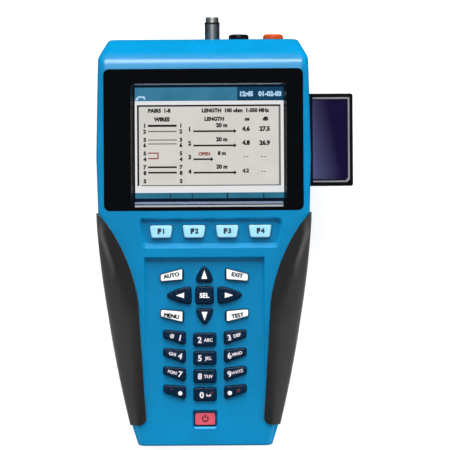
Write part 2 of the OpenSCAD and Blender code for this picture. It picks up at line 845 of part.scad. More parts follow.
module lcd_module() {
    z = window_z - fit_gap;
    lap = window_lap + fit_gap + 0.8;
    color([0.3, 0.4, 0.45])
        translate([display_x, y_window, z - lcd_t])
            linear_extrude(lcd_t)
                square([window_w + 2 * lap, window_h + 2 * lap], center = true);
}

module keypad_mat() {
    color([0.25, 0.26, 0.28])
        translate([0, 0, board_z])
            linear_extrude(mat_t)
                difference() {
                    union() {
                        translate([-pad_half, power_at[1] - power_h / 2 - 1.8])
                            square([2 * pad_half, y_soft - power_at[1] + power_h / 2 + 1.8]);
                        translate([soft_x - soft_channel_w / 2 + 1, y_soft - soft_h / 2 - 3.1])
                            square([soft_channel_w - 2, soft_h + 5.2]);
                    }
                    for (p = ALL_KEYS)
                        translate(middle(p))
                            circle(r = stem_r + 0.5);
                }
}

module main_board() {
    y0 = y_heel + 1.3;
    ys = concat([y0], [for (y = palm_stations()) if (y > y0 + 0.8) y], [y_end - board_in]);
    half = [for (y = ys) [min(board_half, base_half(y) - wall - 1.4), y]];
    color([0.05, 0.35, 0.2])
        translate([0, 0, board_low])
            difference() {
                linear_extrude(board_t)
                    polygon(concat(half, mirrored(half)));
                at_places(board_screw_places, -1)
                    cylinder(r = small_r + 0.2, h = 4);
            }
}

module io_board() {
    color([0.05, 0.35, 0.2])
        translate([0, 0, io_z - board_t])
            difference() {
                translate([-io_half, y_end - io_in - io_len])
                    cube([2 * io_half, io_len, board_t]);
                at_places(io_screw_places, -1)
                    cylinder(r = small_r + 0.2, h = 4);
            }
}

// Pin header and side rails that guide the card under the main board
module card_socket() {
    home_x = base_half(y_card) + card_home - card_len;
    rail_x = base_half(y_card) - wall - 1.4;
    low = card_z - card_t / 2 - card_gap - rail_t;
    side = card_h / 2 + card_gap;
    color([0.12, 0.12, 0.13])
    translate([0, y_card, low])
    difference() {
        translate([home_x - 7, -side - rail_t, 0])
            cube([rail_x - home_x + 7, 2 * (side + rail_t), board_low - low - 0.02]);
        translate([home_x - card_gap, -side, rail_t])
            cube([out, 2 * side, 20]);
        translate([home_x + 4, -side + 2, -1])
            cube([out, 2 * side - 4, 20]);
    }
}

module memory_card() {
    x0 = base_half(y_card) + card_out - card_len;
    color([0.15, 0.12, 0.2])
    translate([x0, y_card, card_z])
    difference() {
        translate([0, 0, -card_t / 2])
            linear_extrude(card_t)
                translate([card_len / 2, 0])
                    rounded(card_len, card_h, 1);
        for (s = [-1, 1])
            translate([-1, s * card_h / 2 - 0.8, -0.8])
                cube([card_len * 0.72, 1.6, 1.6]);
        translate([4, -card_h / 2 + 3, card_t / 2 - 0.2])
            linear_extrude(1)
                polygon([
                    [0, 0],
                    [card_len - 10, 0],
                    [card_len - 6, 4],
                    [card_len - 6, card_h - 6],
                    [0, card_h - 6]]);
        translate([-1, -20, -0.6])
            cube([2.2, 40, 1.2]);
    }
}

module network_jack() {
    color([0.08, 0.08, 0.09])
    translate([jack_x, y_end - jack_len + 0.1, port_z])
    difference() {
        translate([-jack_w / 2, 0, -jack_h / 2])
            cube([jack_w, jack_len, jack_h]);
        translate([-plug_w / 2, jack_len - plug_len, -plug_h / 2 + 0.6])
            cube([plug_w, plug_len + 1, plug_h]);
        translate([-latch_w / 2, jack_len - plug_len, -plug_h / 2 - latch_h + 0.6])
            cube([latch_w, plug_len + 1, latch_h + 1]);
        for (i = [0:7])
            translate([(i - 3.5) * 1.02 - 0.35, jack_len - plug_len, plug_h / 2])
                cube([0.7, plug_len - 3, 1.6]);
    }
}

// Eight bent spring contacts in the roof of the plug opening
module jack_contacts() {
    color([0.85, 0.68, 0.3])
    for (i = [0:7])
        translate([jack_x + (i - 3.5) * 1.02 - 0.25, y_end + 0.1, port_z + plug_h / 2])
            rotate([90, 0, 90])
                linear_extrude(0.5)
                    polygon([
                        [-plug_len + 0.05, 1.5],
                        [-plug_len + 0.05, -1.6],
                        [-plug_len + 1.2, -1.9],
                        [-4, 0.9],
                        [-4, 1.5],
                        [-4.4, 1.5],
                        [-plug_len + 1.3, -1.2],
                        [-plug_len + 0.6, -1],
                        [-plug_len + 0.6, 1.5]]);
}

module coax_barrel() {
    r = coax_r;
    nose_r = coax_r - nose_step;
    len = coax_len;
    color([0.75, 0.76, 0.77])
    along_port(coax_x)
        difference() {
            rotate_extrude()
                polygon([
                    [0, -9],
                    [r, -9],
                    [r, -6.4],
                    [r + 1.6, -6.4],
                    [r + 1.6, -wall - fit_gap],
                    [r, -wall - fit_gap],
                    [r, len - nose_len - 0.3],
                    [nose_r, len - nose_len],
                    [nose_r, len - 0.3],
                    [nose_r - 0.2, len],
                    [0, len]]);
            translate([0, 0, len - 7])
                cylinder(r = r - 0.9, h = 8);
            translate([0, 0, -10])
                cylinder(r = 1.7, h = len + 11);
        }
}

module coax_insulator() {
    color([0.9, 0.89, 0.85])
    along_port(coax_x)
        rotate_extrude()
            polygon([
                [0.75, -9],
                [1.65, -9],
                [1.65, coax_len - 6.95],
                [2.1, coax_len - 6.95],
                [2.1, coax_len - 1.6],
                [0.75, coax_len - 1.6]]);
}

module coax_contact() {
    color([0.85, 0.68, 0.3])
    along_port(coax_x)
        difference() {
            translate([0, 0, -12])
                cylinder(r = 0.7, h = coax_len + 12 - 1.9);
            translate([0, 0, coax_len - 6])
                cylinder(r = 0.45, h = 8);
        }
}

module coax_nut() {
    color([0.7, 0.71, 0.72])
    along_port(coax_x)
        translate([0, 0, -8.9])
            difference() {
                cylinder(r = 5.6, h = 2.4, $fn = 6);
                translate([0, 0, -1])
                    cylinder(r = coax_r + 0.05, h = 5);
            }
}

module socket_collar(x) {
    r = collar_r;
    along_port(x)
        difference() {
            rotate_extrude()
                polygon([
                    [0, -14],
                    [r - 0.7, -14],
                    [r - 0.7, fit_gap],
                    [r, fit_gap],
                    [r, collar_len - 0.9],
                    [r - 0.3, collar_len - 0.3],
                    [r - 0.9, collar_len],
                    [0, collar_len]]);
            translate([0, 0, -15])
                cylinder(r = socket_r + 0.65, h = collar_len + 16);
        }
}

module socket_black() {
    color([0.03, 0.03, 0.04])
        socket_collar(black_x);
}

module socket_red() {
    color([0.7, 0.15, 0.08])
        socket_collar(red_x);
}

module socket_sleeves() {
    color([0.8, 0.72, 0.5])
    for (x = [black_x, red_x])
        along_port(x)
            difference() {
                translate([0, 0, collar_len - 0.6 - socket_len - 2])
                    cylinder(r = socket_r + 0.6, h = socket_len + 2);
                translate([0, 0, collar_len - 0.6 - socket_len])
                    cylinder(r = socket_r, h = socket_len + 1);
            }
}

module socket_nuts() {
    color([0.7, 0.71, 0.72])
    for (x = [black_x, red_x])
        along_port(x)
            translate([0, 0, -wall - fit_gap - 3])
                difference() {
                    cylinder(r = collar_r + 1.6, h = 3, $fn = 6);
                    translate([0, 0, -1])
                        cylinder(r = collar_r - 0.7 + 0.05, h = 5);
                }
}

module battery_cells() {
    color([0.2, 0.35, 0.3])
    for (i = [0:3])
        translate([(i - 1.5) * cell_pitch, -bay_drop - bay_len / 2 - cell_len / 2, cell_z])
            rotate([-90, 0, 0])
                rotate_extrude()
                    polygon([
                        [0, 0],
                        [cell_r - 0.4, 0],
                        [cell_r, 0.4],
                        [cell_r, cell_len - 1.9],
                        [cell_r - 0.5, cell_len - 1.4],
                        [2.75, cell_len - 1.4],
                        [2.75, cell_len],
                        [0, cell_len]]);
}

module battery_contacts() {
    color([0.75, 0.74, 0.68])
    for (i = [0:3])
        for (s = [-1, 1])
            translate([(i - 1.5) * cell_pitch, -bay_drop - bay_len / 2 + s * (bay_len / 2 - 0.55), cell_z])
                cube([cell_r * 1.4, 1, cell_r * 1.25], center = true);
}

module battery_cover() {
    color([0.05, 0.48, 0.72])
    difference() {
        translate([0, (cover_y0 + cover_y1) / 2, cover_sink])
            linear_extrude(cover_t - fit_gap)
                rounded(2 * cover_half, cover_y1 - cover_y0, 2);
        at_places(cover_screw_places, -1)
            cylinder(r = small_r + 0.2, h = 6);
        at_places(cover_screw_places, -1)
            cylinder(r = small_head_r + 0.2, h = 2.2);
        for (i = [0:6])
            translate([0, -bay_drop + 3 - i * 1.8, 0])
                cube([22, 0.8, 1.2], center = true);
    }
}

// Screw with its head low, standing along Z
module screw(r, head, head_h, len) {
    difference() {
        union() {
            cylinder(r = head, h = head_h);
            cylinder(r = r, h = len);
        }
        translate([0, 0, -1])
            cylinder(r = head * 0.52, h = 1 + head_h * 0.6, $fn = 6);
    }
}

module cover_screws() {
    color([0.3, 0.3, 0.32])
        at_places(cover_screw_places, 0.35)
            screw(small_r, small_head_r, 0.83, cover_screw_len);
}

module case_screws() {
    color([0.3, 0.3, 0.32])
        at_places(case_screw_places, 0.5)
            screw(screw_r, head_r, 2.08, part_z + 10);
}

module board_screws() {
    color([0.5, 0.5, 0.52])
        at_places(board_screw_places, board_low - small_head_h - 0.05)
            screw(small_r, small_head_r, small_head_h, small_head_h + board_t + small_bite);
}

module io_screws() {
    color([0.5, 0.5, 0.52])
        at_places(io_screw_places, io_z + small_head_h + 0.05)
            rotate([180, 0, 0])
                screw(small_r, small_head_r, small_head_h, small_head_h + board_t + small_bite);
}

module buzzer() {
    color([0.1, 0.1, 0.11])
        translate([-recess_w / 2 + 8, y_soft - 9, board_low - part_h - 0.05])
            difference() {
                cylinder(r = buzzer_r, h = part_h);
                translate([0, 0, -1])
                    cylinder(r = 1, h = 2);
            }
}

// Flat cable that joins the two boards
module board_ribbon() {
    a = [y_end - io_in - io_len + 5, io_z + 0.05];
    d = [a[0] - ribbon_reach, board_low - 0.05];
    path = [for (i = [0:16])
        bezier(a, a + [0, 16], d - [0, 16], d, i / 16)];
    t = 0.4;
    color([0.6, 0.6, 0.58])
        translate([-ribbon_w * 0.75, 0, 0])
            rotate([90, 0, 90])
                linear_extrude(ribbon_w)
                    polygon(concat(
                        [for (p = path) p + [t, 0]],
                        [for (i = [16:-1:0]) path[i] - [t, 0]]));
}

front_shell();
rear_shell();
grip_left();
grip_right();
display_bezel();
display_window();
lcd_module();
keypad_mat();
main_board();
io_board();
card_socket();
memory_card();
network_jack();
jack_contacts();
coax_barrel();
coax_insulator();
coax_contact();
coax_nut();
socket_black();
socket_red();
socket_sleeves();
socket_nuts();
battery_cells();
battery_contacts();
battery_cover();
cover_screws();
case_screws();
board_screws();
io_screws();
buzzer();
board_ribbon();
for (i = [0:3])
    color([0.62, 0.82, 0.9]) key(soft_key(i), body_depth - soft_sink, key_rise);
for (i = [0:3])
    color([0.06, 0.12, 0.2]) pad_key(arrow_key(i));
color([0.06, 0.12, 0.2]) pad_key(select_key);  // nav_select
for (i = [0:3])
    color([0.88, 0.9, 0.92]) pad_key(light_key(i));
for (i = [0:11])
    color([0.06, 0.12, 0.2]) pad_key(num_key(i));
color([0.75, 0.3, 0.38]) key(power_key, pocket_z, power_rise);
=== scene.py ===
"""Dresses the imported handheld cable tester: finishes, display picture, legends, light and camera."""
import logging
import math
from dataclasses import dataclass, field, replace
from enum import Enum, IntEnum
from functools import lru_cache

import bmesh
import bpy
from mathutils import Matrix, Vector


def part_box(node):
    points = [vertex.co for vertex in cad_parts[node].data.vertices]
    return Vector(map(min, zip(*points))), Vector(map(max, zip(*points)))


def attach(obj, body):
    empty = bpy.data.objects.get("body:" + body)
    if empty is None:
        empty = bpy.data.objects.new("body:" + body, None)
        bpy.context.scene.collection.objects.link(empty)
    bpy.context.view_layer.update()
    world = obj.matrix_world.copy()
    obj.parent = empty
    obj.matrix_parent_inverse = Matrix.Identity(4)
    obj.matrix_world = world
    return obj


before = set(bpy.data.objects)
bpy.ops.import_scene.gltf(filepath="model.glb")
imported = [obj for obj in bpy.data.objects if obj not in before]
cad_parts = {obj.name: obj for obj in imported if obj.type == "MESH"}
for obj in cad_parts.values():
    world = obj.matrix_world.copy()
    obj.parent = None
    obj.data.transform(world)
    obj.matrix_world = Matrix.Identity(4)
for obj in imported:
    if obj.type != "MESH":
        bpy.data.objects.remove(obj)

log = logging.getLogger("tester")
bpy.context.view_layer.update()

# Lengths are in mm, apart from the weld, the lights and the camera's distance, which are in metres
MM = 0.001
WELD_M = 2e-6
BEVEL_SEGMENTS = 2

# Numbers of the soft keys and of the light keys
FOUR = range(1, 5)

# Height of a capital as a share of the font's size
CAP_SHARE = 0.72

# Colour sockets of the mix node
MIX_A, MIX_B, MIX_RESULT = 6, 7, 2

Rgb = tuple[float, float, float]
Rgba = tuple[float, float, float, float]
Point = tuple[float, float]
Place = tuple[float, float, float]
Box = tuple[float, float, float, float]
Socket = bpy.types.NodeSocket


class Body(Enum):
    """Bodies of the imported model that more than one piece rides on."""

    HOUSING = "housing"
    CARD = "card"


class Reach(Enum):
    """What a light adds to: soft shading or reflections."""

    SHADE = "shade"
    SHINE = "shine"


class Layer(IntEnum):
    """Layers of the display's picture, from the lowest up."""

    GROUND = 0
    FIELD = 1
    FRAME = 2
    PRINT = 3


def linear(colour: Rgb, gain: float = 1.0) -> Rgba:
    """Turns a display colour into the linear colour that a shader takes, by the sRGB curve.

    Args:
        colour: Red, green and blue from 0 to 255.
        gain: Factor on the linear values.

    Returns:
        Linear red, green and blue, with alpha 1.
    """
    out = []
    for part in colour:
        c = part / 255
        c = c / 12.92 if c <= 0.04045 else ((c + 0.055) / 1.055) ** 2.4
        out.append(min(c * gain, 1.0))
    return (*out, 1.0)


class Graph:
    """Builder around the node tree of one material with one principled shader."""

    def __init__(self, name: str) -> None:
        """Makes an empty material.

        Args:
            name: Name of the material.
        """
        self.material = bpy.data.materials.new(name)
        self.material.use_nodes = True
        self.tree = self.material.node_tree
        self.tree.nodes.clear()
        self.shader = self.tree.nodes.new("ShaderNodeBsdfPrincipled")
        out = self.tree.nodes.new("ShaderNodeOutputMaterial")
        self.link(self.shader.outputs["BSDF"], out.inputs["Surface"])
        self.place = self.tree.nodes.new("ShaderNodeTexCoord").outputs["Object"]

    def link(self, source: Socket, target: Socket) -> None:
        """Joins an output socket to an input socket."""
        self.tree.links.new(source, target)

    def feed(self, name: str, source: Socket) -> None:
        """Feeds the shader's socket of a given name."""
        self.link(source, self.shader.inputs[name])

    def set(self, **values: float | tuple) -> None:
        """Sets sockets of the shader itself, named with _ for spaces."""
        for key, value in values.items():
            self.shader.inputs[key.replace("_", " ")].default_value = value

    def stretched(self, scale: Place) -> Socket:
        """Object coordinates scaled along each axis.

        Args:
            scale: Factors along X, Y and Z.

        Returns:
            The scaled vector.
        """
        node = self.tree.nodes.new("ShaderNodeMapping")
        node.inputs["Scale"].default_value = scale
        self.link(self.place, node.inputs["Vector"])
        return node.outputs["Vector"]

    def noise(self, size: float, detail: float = 3.0, vector: Socket | None = None) -> Socket:
        """Noise of a given feature size.

        Args:
            size: Feature size.
            detail: Octaves.
            vector: Coordinates, or None for the object's own.

        Returns:
            The noise value.
        """
        node = self.tree.nodes.new("ShaderNodeTexNoise")
        node.inputs["Scale"].default_value = 1 / (size * MM)
        node.inputs["Detail"].default_value = detail
        self.link(vector or self.place, node.inputs["Vector"])
        return node.outputs["Fac"]

    def cells(self, size: float) -> Socket:
        """Distance to the nearest of scattered points.

        Args:
            size: Spacing of the points.

        Returns:
            The distance value.
        """
        node = self.tree.nodes.new("ShaderNodeTexVoronoi")
        node.inputs["Scale"].default_value = 1 / (size * MM)
        self.link(self.place, node.inputs["Vector"])
        return node.outputs["Distance"]

    def span(self, value: Socket, low: float, high: float, start: float = 0.3, end: float = 0.7) -> Socket:
        """Maps a value to a range and holds it there.

        Args:
            value: The value.
            low: Result at start.
            high: Result at end.
            start: Value that gives low.
            end: Value that gives high.

        Returns:
            The mapped value.
        """
        node = self.tree.nodes.new("ShaderNodeMapRange")
        self.link(value, node.inputs["Value"])
        for name, number in (("From Min", start), ("From Max", end), ("To Min", low), ("To Max", high)):
            node.inputs[name].default_value = number
        return node.outputs["Result"]

    def step(self, value: Socket, edge: float, feather: float) -> Socket:
        """Goes from 0 to 1 across an edge in mm, within a feather on either side of it."""
        return self.span(value, 0, 1, (edge - feather) * MM, (edge + feather) * MM)

    def blend(self, factor: Socket, a: Rgba | Socket, b: Rgba | Socket) -> Socket:
        """Mixes two colours.

        Args:
            factor: 0 for a, 1 for b.
            a: First colour.
            b: Second colour.

        Returns:
            The mixed colour.
        """
        node = self.tree.nodes.new("ShaderNodeMix")
        node.data_type = "RGBA"
        self.link(factor, node.inputs["Factor"])
        for socket, colour in ((node.inputs[MIX_A], a), (node.inputs[MIX_B], b)):
            if isinstance(colour, Socket):
                self.link(colour, socket)
            else:
                socket.default_value = colour
        return node.outputs[MIX_RESULT]

    def relief(self, height: Socket, depth: float, under: Socket | None = None) -> Socket:
        """Bump from a height value.

        Args:
            height: Height from 0 to 1.
            depth: Depth of the bump.
            under: Normal of another bump below this one.

        Returns:
            The bumped normal.
        """
        node = self.tree.nodes.new("ShaderNodeBump")
        node.inputs["Distance"].default_value = depth * MM
        self.link(height, node.inputs["Height"])
        if under is not None:
            self.link(under, node.inputs["Normal"])
        return node.outputs["Normal"]

    def part(self, vector: Socket, name: str) -> Socket:
        """One part of a vector.

        Args:
            vector: The vector.
            name: X, Y or Z.

        Returns:
            The part.
        """
        node = self.tree.nodes.new("ShaderNodeSeparateXYZ")
        self.link(vector, node.inputs["Vector"])
        return node.outputs[name]

    def axis(self, name: str) -> Socket:
        """One object coordinate, X, Y or Z, in metres."""
        return self.part(self.place, name)

    def facing(self, name: str) -> Socket:
        """X, Y or Z part of the surface's direction, from -1 to 1."""
        return self.part(self.tree.nodes.new("ShaderNodeTexCoord").outputs["Normal"], name)

    def calc(self, operation: str, a: Socket, b: Socket | None = None) -> Socket:
        """Calculates with one or two values.

        Args:
            operation: Operation of the math node.
            a: First value.
            b: Second value.

        Returns:
            The result.
        """
        node = self.tree.nodes.new("ShaderNodeMath")
        node.operation = operation
        self.link(a, node.inputs[0])
        if b is not None:
            self.link(b, node.inputs[1])
        return node.outputs[0]

    def wear(self, colour: Rgb, spread: float, size: float) -> Socket:
        """Display colour that drifts by a share of itself either way, in patches of a size."""
        drift = self.span(self.noise(size), 0, 1)
        return self.blend(drift, linear(colour, 1 - spread), linear(colour, 1 + spread))

    def colour(self, source: Socket) -> None:
        """Feeds the base colour."""
        self.feed("Base Color", source)

    def rough(self, value: float, spread: float, size: float) -> None:
        """Feeds a roughness that drifts by a spread either way, in patches of a size."""
        drift = self.noise(size, detail=4)
        self.feed("Roughness", self.span(drift, value - spread, value + spread))

    def normal(self, source: Socket) -> None:
        """Feeds the normal."""
        self.feed("Normal", source)


@dataclass(frozen=True)
class Finish:
    """One finish: a name, a display colour and how it is shaded."""

    name: str
    colour: Rgb
    roughness: float = 0.4

    def shade(self, g: Graph) -> None:
        """Builds the finish's nodes in the graph of a new material."""
        raise NotImplementedError


@lru_cache(maxsize=None)
def material(finish: Finish) -> bpy.types.Material:
    """Gives the material of a finish, made once.

    Args:
        finish: The finish.

    Returns:
        Its material.
    """
    g = Graph(finish.name)
    finish.shade(g)
    return g.material


@dataclass(frozen=True)
class Moulded(Finish):
    """Moulded plastic with a fine spark-eroded grain over a slow wave."""

    grain: float = 0.3
    depth: float = 0.012
    drift: float = 0.05
    gloss: float = 0.5

    def shade(self, g: Graph) -> None:
        """Builds the finish's nodes."""
        g.colour(g.wear(self.colour, self.drift, size=14))
        g.rough(self.roughness, spread=0.025, size=1.5)
        wave = g.relief(g.noise(size=9, detail=1), depth=0.012)
        g.normal(g.relief(g.noise(self.grain, detail=2), self.depth, wave))
        g.set(Specular_IOR_Level=self.gloss)


@dataclass(frozen=True)
class Ink(Moulded):
    """Thin print or paint, with almost no grain."""

    roughness: float = 0.5
    depth: float = 0.003


@dataclass(frozen=True)
class Backdrop(Moulded):
    """White surface with some light of its own, so that it stays pale under the object."""

    roughness: float = 0.6
    grain: float = 2.0
    depth: float = 0.0
    glow: float = 0.72

    def shade(self, g: Graph) -> None:
        """Builds the finish's nodes."""
        super().shade(g)
        g.set(Emission_Color=(1, 1, 1, 1), Emission_Strength=self.glow)


@dataclass(frozen=True)
class Capped(Moulded):
    """Key of two shots: a coloured top on a dark base that shows at the sides and at one end.

    The top starts at the height level, at the distance inner from the middle line and at the
    Y lowest. The defaults of the last two lie outside every key.
    """

    grain: float = 0.4
    depth: float = 0.006
    base: Rgb = (10, 24, 38)
    level: float = 0.0
    inner: float = -1.0
    lowest: float = -200.0

    def shade(self, g: Graph) -> None:
        """Builds the finish's nodes."""
        high = g.step(g.axis("Z"), self.level, feather=0.04)
        outer = g.step(g.calc("ABSOLUTE", g.axis("X")), self.inner, feather=0.05)
        upper = g.step(g.axis("Y"), self.lowest, feather=0.05)
        top = g.calc("MULTIPLY", g.calc("MULTIPLY", high, outer), upper)
        base = g.wear(self.base, spread=0.1, size=5)
        g.colour(g.blend(top, base, g.wear(self.colour, self.drift, size=9)))
        g.rough(self.roughness, spread=0.05, size=1.5)
        g.normal(g.relief(g.noise(self.grain, detail=2), self.depth))
        g.set(Specular_IOR_Level=self.gloss)


@dataclass(frozen=True)
class Gloss(Finish):
    """Polished plastic with faint orange peel and dust."""

    gloss: float = 0.5

    def shade(self, g: Graph) -> None:
        """Builds the finish's nodes."""
        dust = g.span(g.noise(size=0.35, detail=5), 0, 1, start=0.66, end=0.76)
        g.colour(g.blend(dust, g.wear(self.colour, spread=0.06, size=20), linear(self.colour, gain=1.6)))
        g.rough(self.roughness, spread=0.03, size=3)
        g.normal(g.relief(g.noise(size=1.6, detail=1), depth=0.002))
        g.set(Specular_IOR_Level=self.gloss)


@dataclass(frozen=True)
class Rubber(Finish):
    """Soft rubber with a stippled skin."""

    stipple: float = 0.45
    depth: float = 0.03
    sheen: float = 0.0

    def shade(self, g: Graph) -> None:
        """Builds the finish's nodes."""
        g.colour(self.tone(g, self.colour))
        g.rough(self.roughness, spread=0.06, size=3)
        g.normal(g.relief(g.cells(self.stipple), self.depth))
        g.set(Specular_IOR_Level=0.35, Sheen_Weight=self.sheen, Sheen_Roughness=0.45)

    def tone(self, g: Graph, colour: Rgb) -> Socket:
        """Uneven colour of handled rubber around a display colour."""
        rubbed = g.span(g.noise(size=12, detail=4), 0, 1, start=0.35, end=0.75)
        return g.blend(rubbed, linear(colour, gain=0.88), linear(colour, gain=1.15))


@dataclass(frozen=True)
class GripRubber(Rubber):
    """Grip rubber whose outward-facing sides are painted paler as painted side light, with a painted
    highlight along its upper shoulder.

    The painted shoulder highlight runs between two ends, each with its distance from the middle line
    and its Y.
    """

    # Colours of painted light: outer for the outward sides, then the painted highlight along the shoulder.
    outer: Rgb = (39, 38, 38)
    scuff: Rgb = (78, 75, 73)
    low_end: Point = (42.3, -11.5)
    high_end: Point = (47.4, 3.7)
    half_width: float = 1.7
    fade: float = 7.0

    def tone(self, g: Graph, colour: Rgb) -> Socket:
        """Colour painted paler outwards as painted side light, with a painted highlight along the
        shoulder.

        Args:
            g: Graph of the new material.
            colour: Mean display colour of the inner part.

        Returns:
            The colour.
        """
        # Painted side light: the more a surface faces outwards, the nearer it comes to the paler outer
        # colour.
        tilt = g.calc("ABSOLUTE", g.facing("X"))
        inside = g.span(tilt, 0, 1, start=0.02, end=0.34)
        outside = g.span(tilt, 1, 0.35, start=0.72, end=0.95)
        crown = g.calc("MULTIPLY", inside, outside)
        rubbed_and_side_lit = g.blend(crown, super().tone(g, colour), super().tone(g, self.outer))
        # Painted highlight: a soft streak along the upper shoulder, between the two ends.
        along = g.axis("Y")
        (low_x, low_y), (high_x, high_y) = self.low_end, self.high_end
        middle = g.span(along, low_x * MM, high_x * MM, low_y * MM, high_y * MM)
        off = g.calc("ABSOLUTE", g.calc("SUBTRACT", g.calc("ABSOLUTE", g.axis("X")), middle))
        near = g.span(off, 1, 0, 0, self.half_width * MM)
        start = g.step(along, low_y, self.fade)
        end = g.span(along, 1, 0, high_y * MM, (high_y + self.fade) * MM)
        highlight_mask = g.calc("MULTIPLY", near, g.calc("MULTIPLY", start, end))
        return g.blend(highlight_mask, rubbed_and_side_lit, linear(self.scuff))


@dataclass(frozen=True)
class Turned(Finish):
    """Plated metal with fine turning rings across one axis, and a tip painted brighter as a painted
    highlight if it has one.
    """

    rings: Place = (0.02, 1.0, 0.02)
    pitch: float = 0.12
    tip: Rgb | None = None
    tip_y: float = 0.0

    def shade(self, g: Graph) -> None:
        """Builds the finish's nodes."""
        tarnish = g.span(g.noise(size=3, detail=4), 0, 1, start=0.4, end=0.75)
        plate = g.blend(tarnish, linear(self.colour), linear(self.colour, gain=0.72))
        # Painted highlight: the tip colour stands in for a bright reflection on the nose.
        if self.tip:
            plate = g.blend(g.step(g.axis("Y"), self.tip_y, feather=0.02), plate, linear(self.tip))
        g.colour(plate)
        g.rough(self.roughness, spread=0.06, size=0.8)
        turning = g.noise(self.pitch, detail=1, vector=g.stretched(self.rings))
        g.normal(g.relief(turning, depth=0.012))
        g.set(Metallic=1.0)


@dataclass(frozen=True)
class Board(Finish):
    """Circuit board with a solder mask over traces."""

    def shade(self, g: Graph) -> None:
        """Builds the finish's nodes."""
        traces = g.span(g.cells(size=2.2), 0, 1, start=0.42, end=0.5)
        g.colour(g.blend(traces, linear(self.colour), linear(self.colour, gain=1.6)))
        g.rough(self.roughness, spread=0.05, size=2)
        g.normal(g.relief(traces, depth=0.03))


@dataclass(frozen=True)
class Clear(Finish):
    """Clear window with a faint ripple."""

    def shade(self, g: Graph) -> None:
        """Builds the finish's nodes."""
        g.colour(g.wear(self.colour, spread=0.01, size=30))
        g.rough(self.roughness, spread=0.01, size=6)
        g.normal(g.relief(g.noise(size=14, detail=1), depth=0.001))
        g.set(Transmission_Weight=1.0, IOR=1.47)


@dataclass(frozen=True)
class Lit(Finish):
    """Backlit picture element with the display's fine pixel rows, drifting to a second colour."""

    roughness: float = 0.3
    second: Rgb | None = None

    def shade(self, g: Graph) -> None:
        """Builds the finish's nodes."""
        rows = g.span(g.noise(size=0.22, detail=0), 0, 1)
        tint = g.span(g.noise(size=11, detail=2), 0, 1, start=0.4, end=0.6)
        base = g.blend(tint, linear(self.colour), linear(self.second or self.colour))
        g.colour(g.blend(rows, linear(self.colour, gain=0.08), linear(self.colour, gain=0.12)))
        g.feed("Emission Color", g.blend(rows, base, linear(self.colour, gain=0.94)))
        g.set(Emission_Strength=1.0)
        g.rough(self.roughness, spread=0.04, size=1)


@dataclass(frozen=True)
class Label(Finish):
    """Printed label whose colour runs to a second one along X, over a longer way at its lower end."""

    second: Rgb = (12, 4, 42)
    lower: Rgb = (84, 86, 124)
    start: float = 51.0
    run_low: float = 13.0
    run_high: float = 6.8
    y_low: float = 32.0
    y_high: float = 63.0

    def shade(self, g: Graph) -> None:
        """Builds the finish's nodes."""
        ends = (self.y_low * MM, self.y_high * MM)
        length = g.span(g.axis("Y"), self.run_low * MM, self.run_high * MM, *ends)
        past = g.span(g.axis("X"), 0, 1, self.start * MM, self.start * MM + 1)
        along = g.calc("SQRT", g.span(g.calc("DIVIDE", past, length), 0, 1, start=0, end=1))
        upward = g.span(g.axis("Y"), 0, 1, *ends)
        first = g.blend(upward, linear(self.lower), linear(self.colour))
        fibre = g.span(g.noise(size=0.3, detail=2), low=0, high=0.05)
        run = g.blend(along, first, linear(self.second))
        g.colour(g.blend(fibre, run, linear(self.colour, gain=1.3)))
        g.rough(self.roughness, spread=0.01, size=4)
        g.normal(g.relief(g.noise(size=0.4, detail=2), depth=0.001))
        g.set(Specular_IOR_Level=0.1)


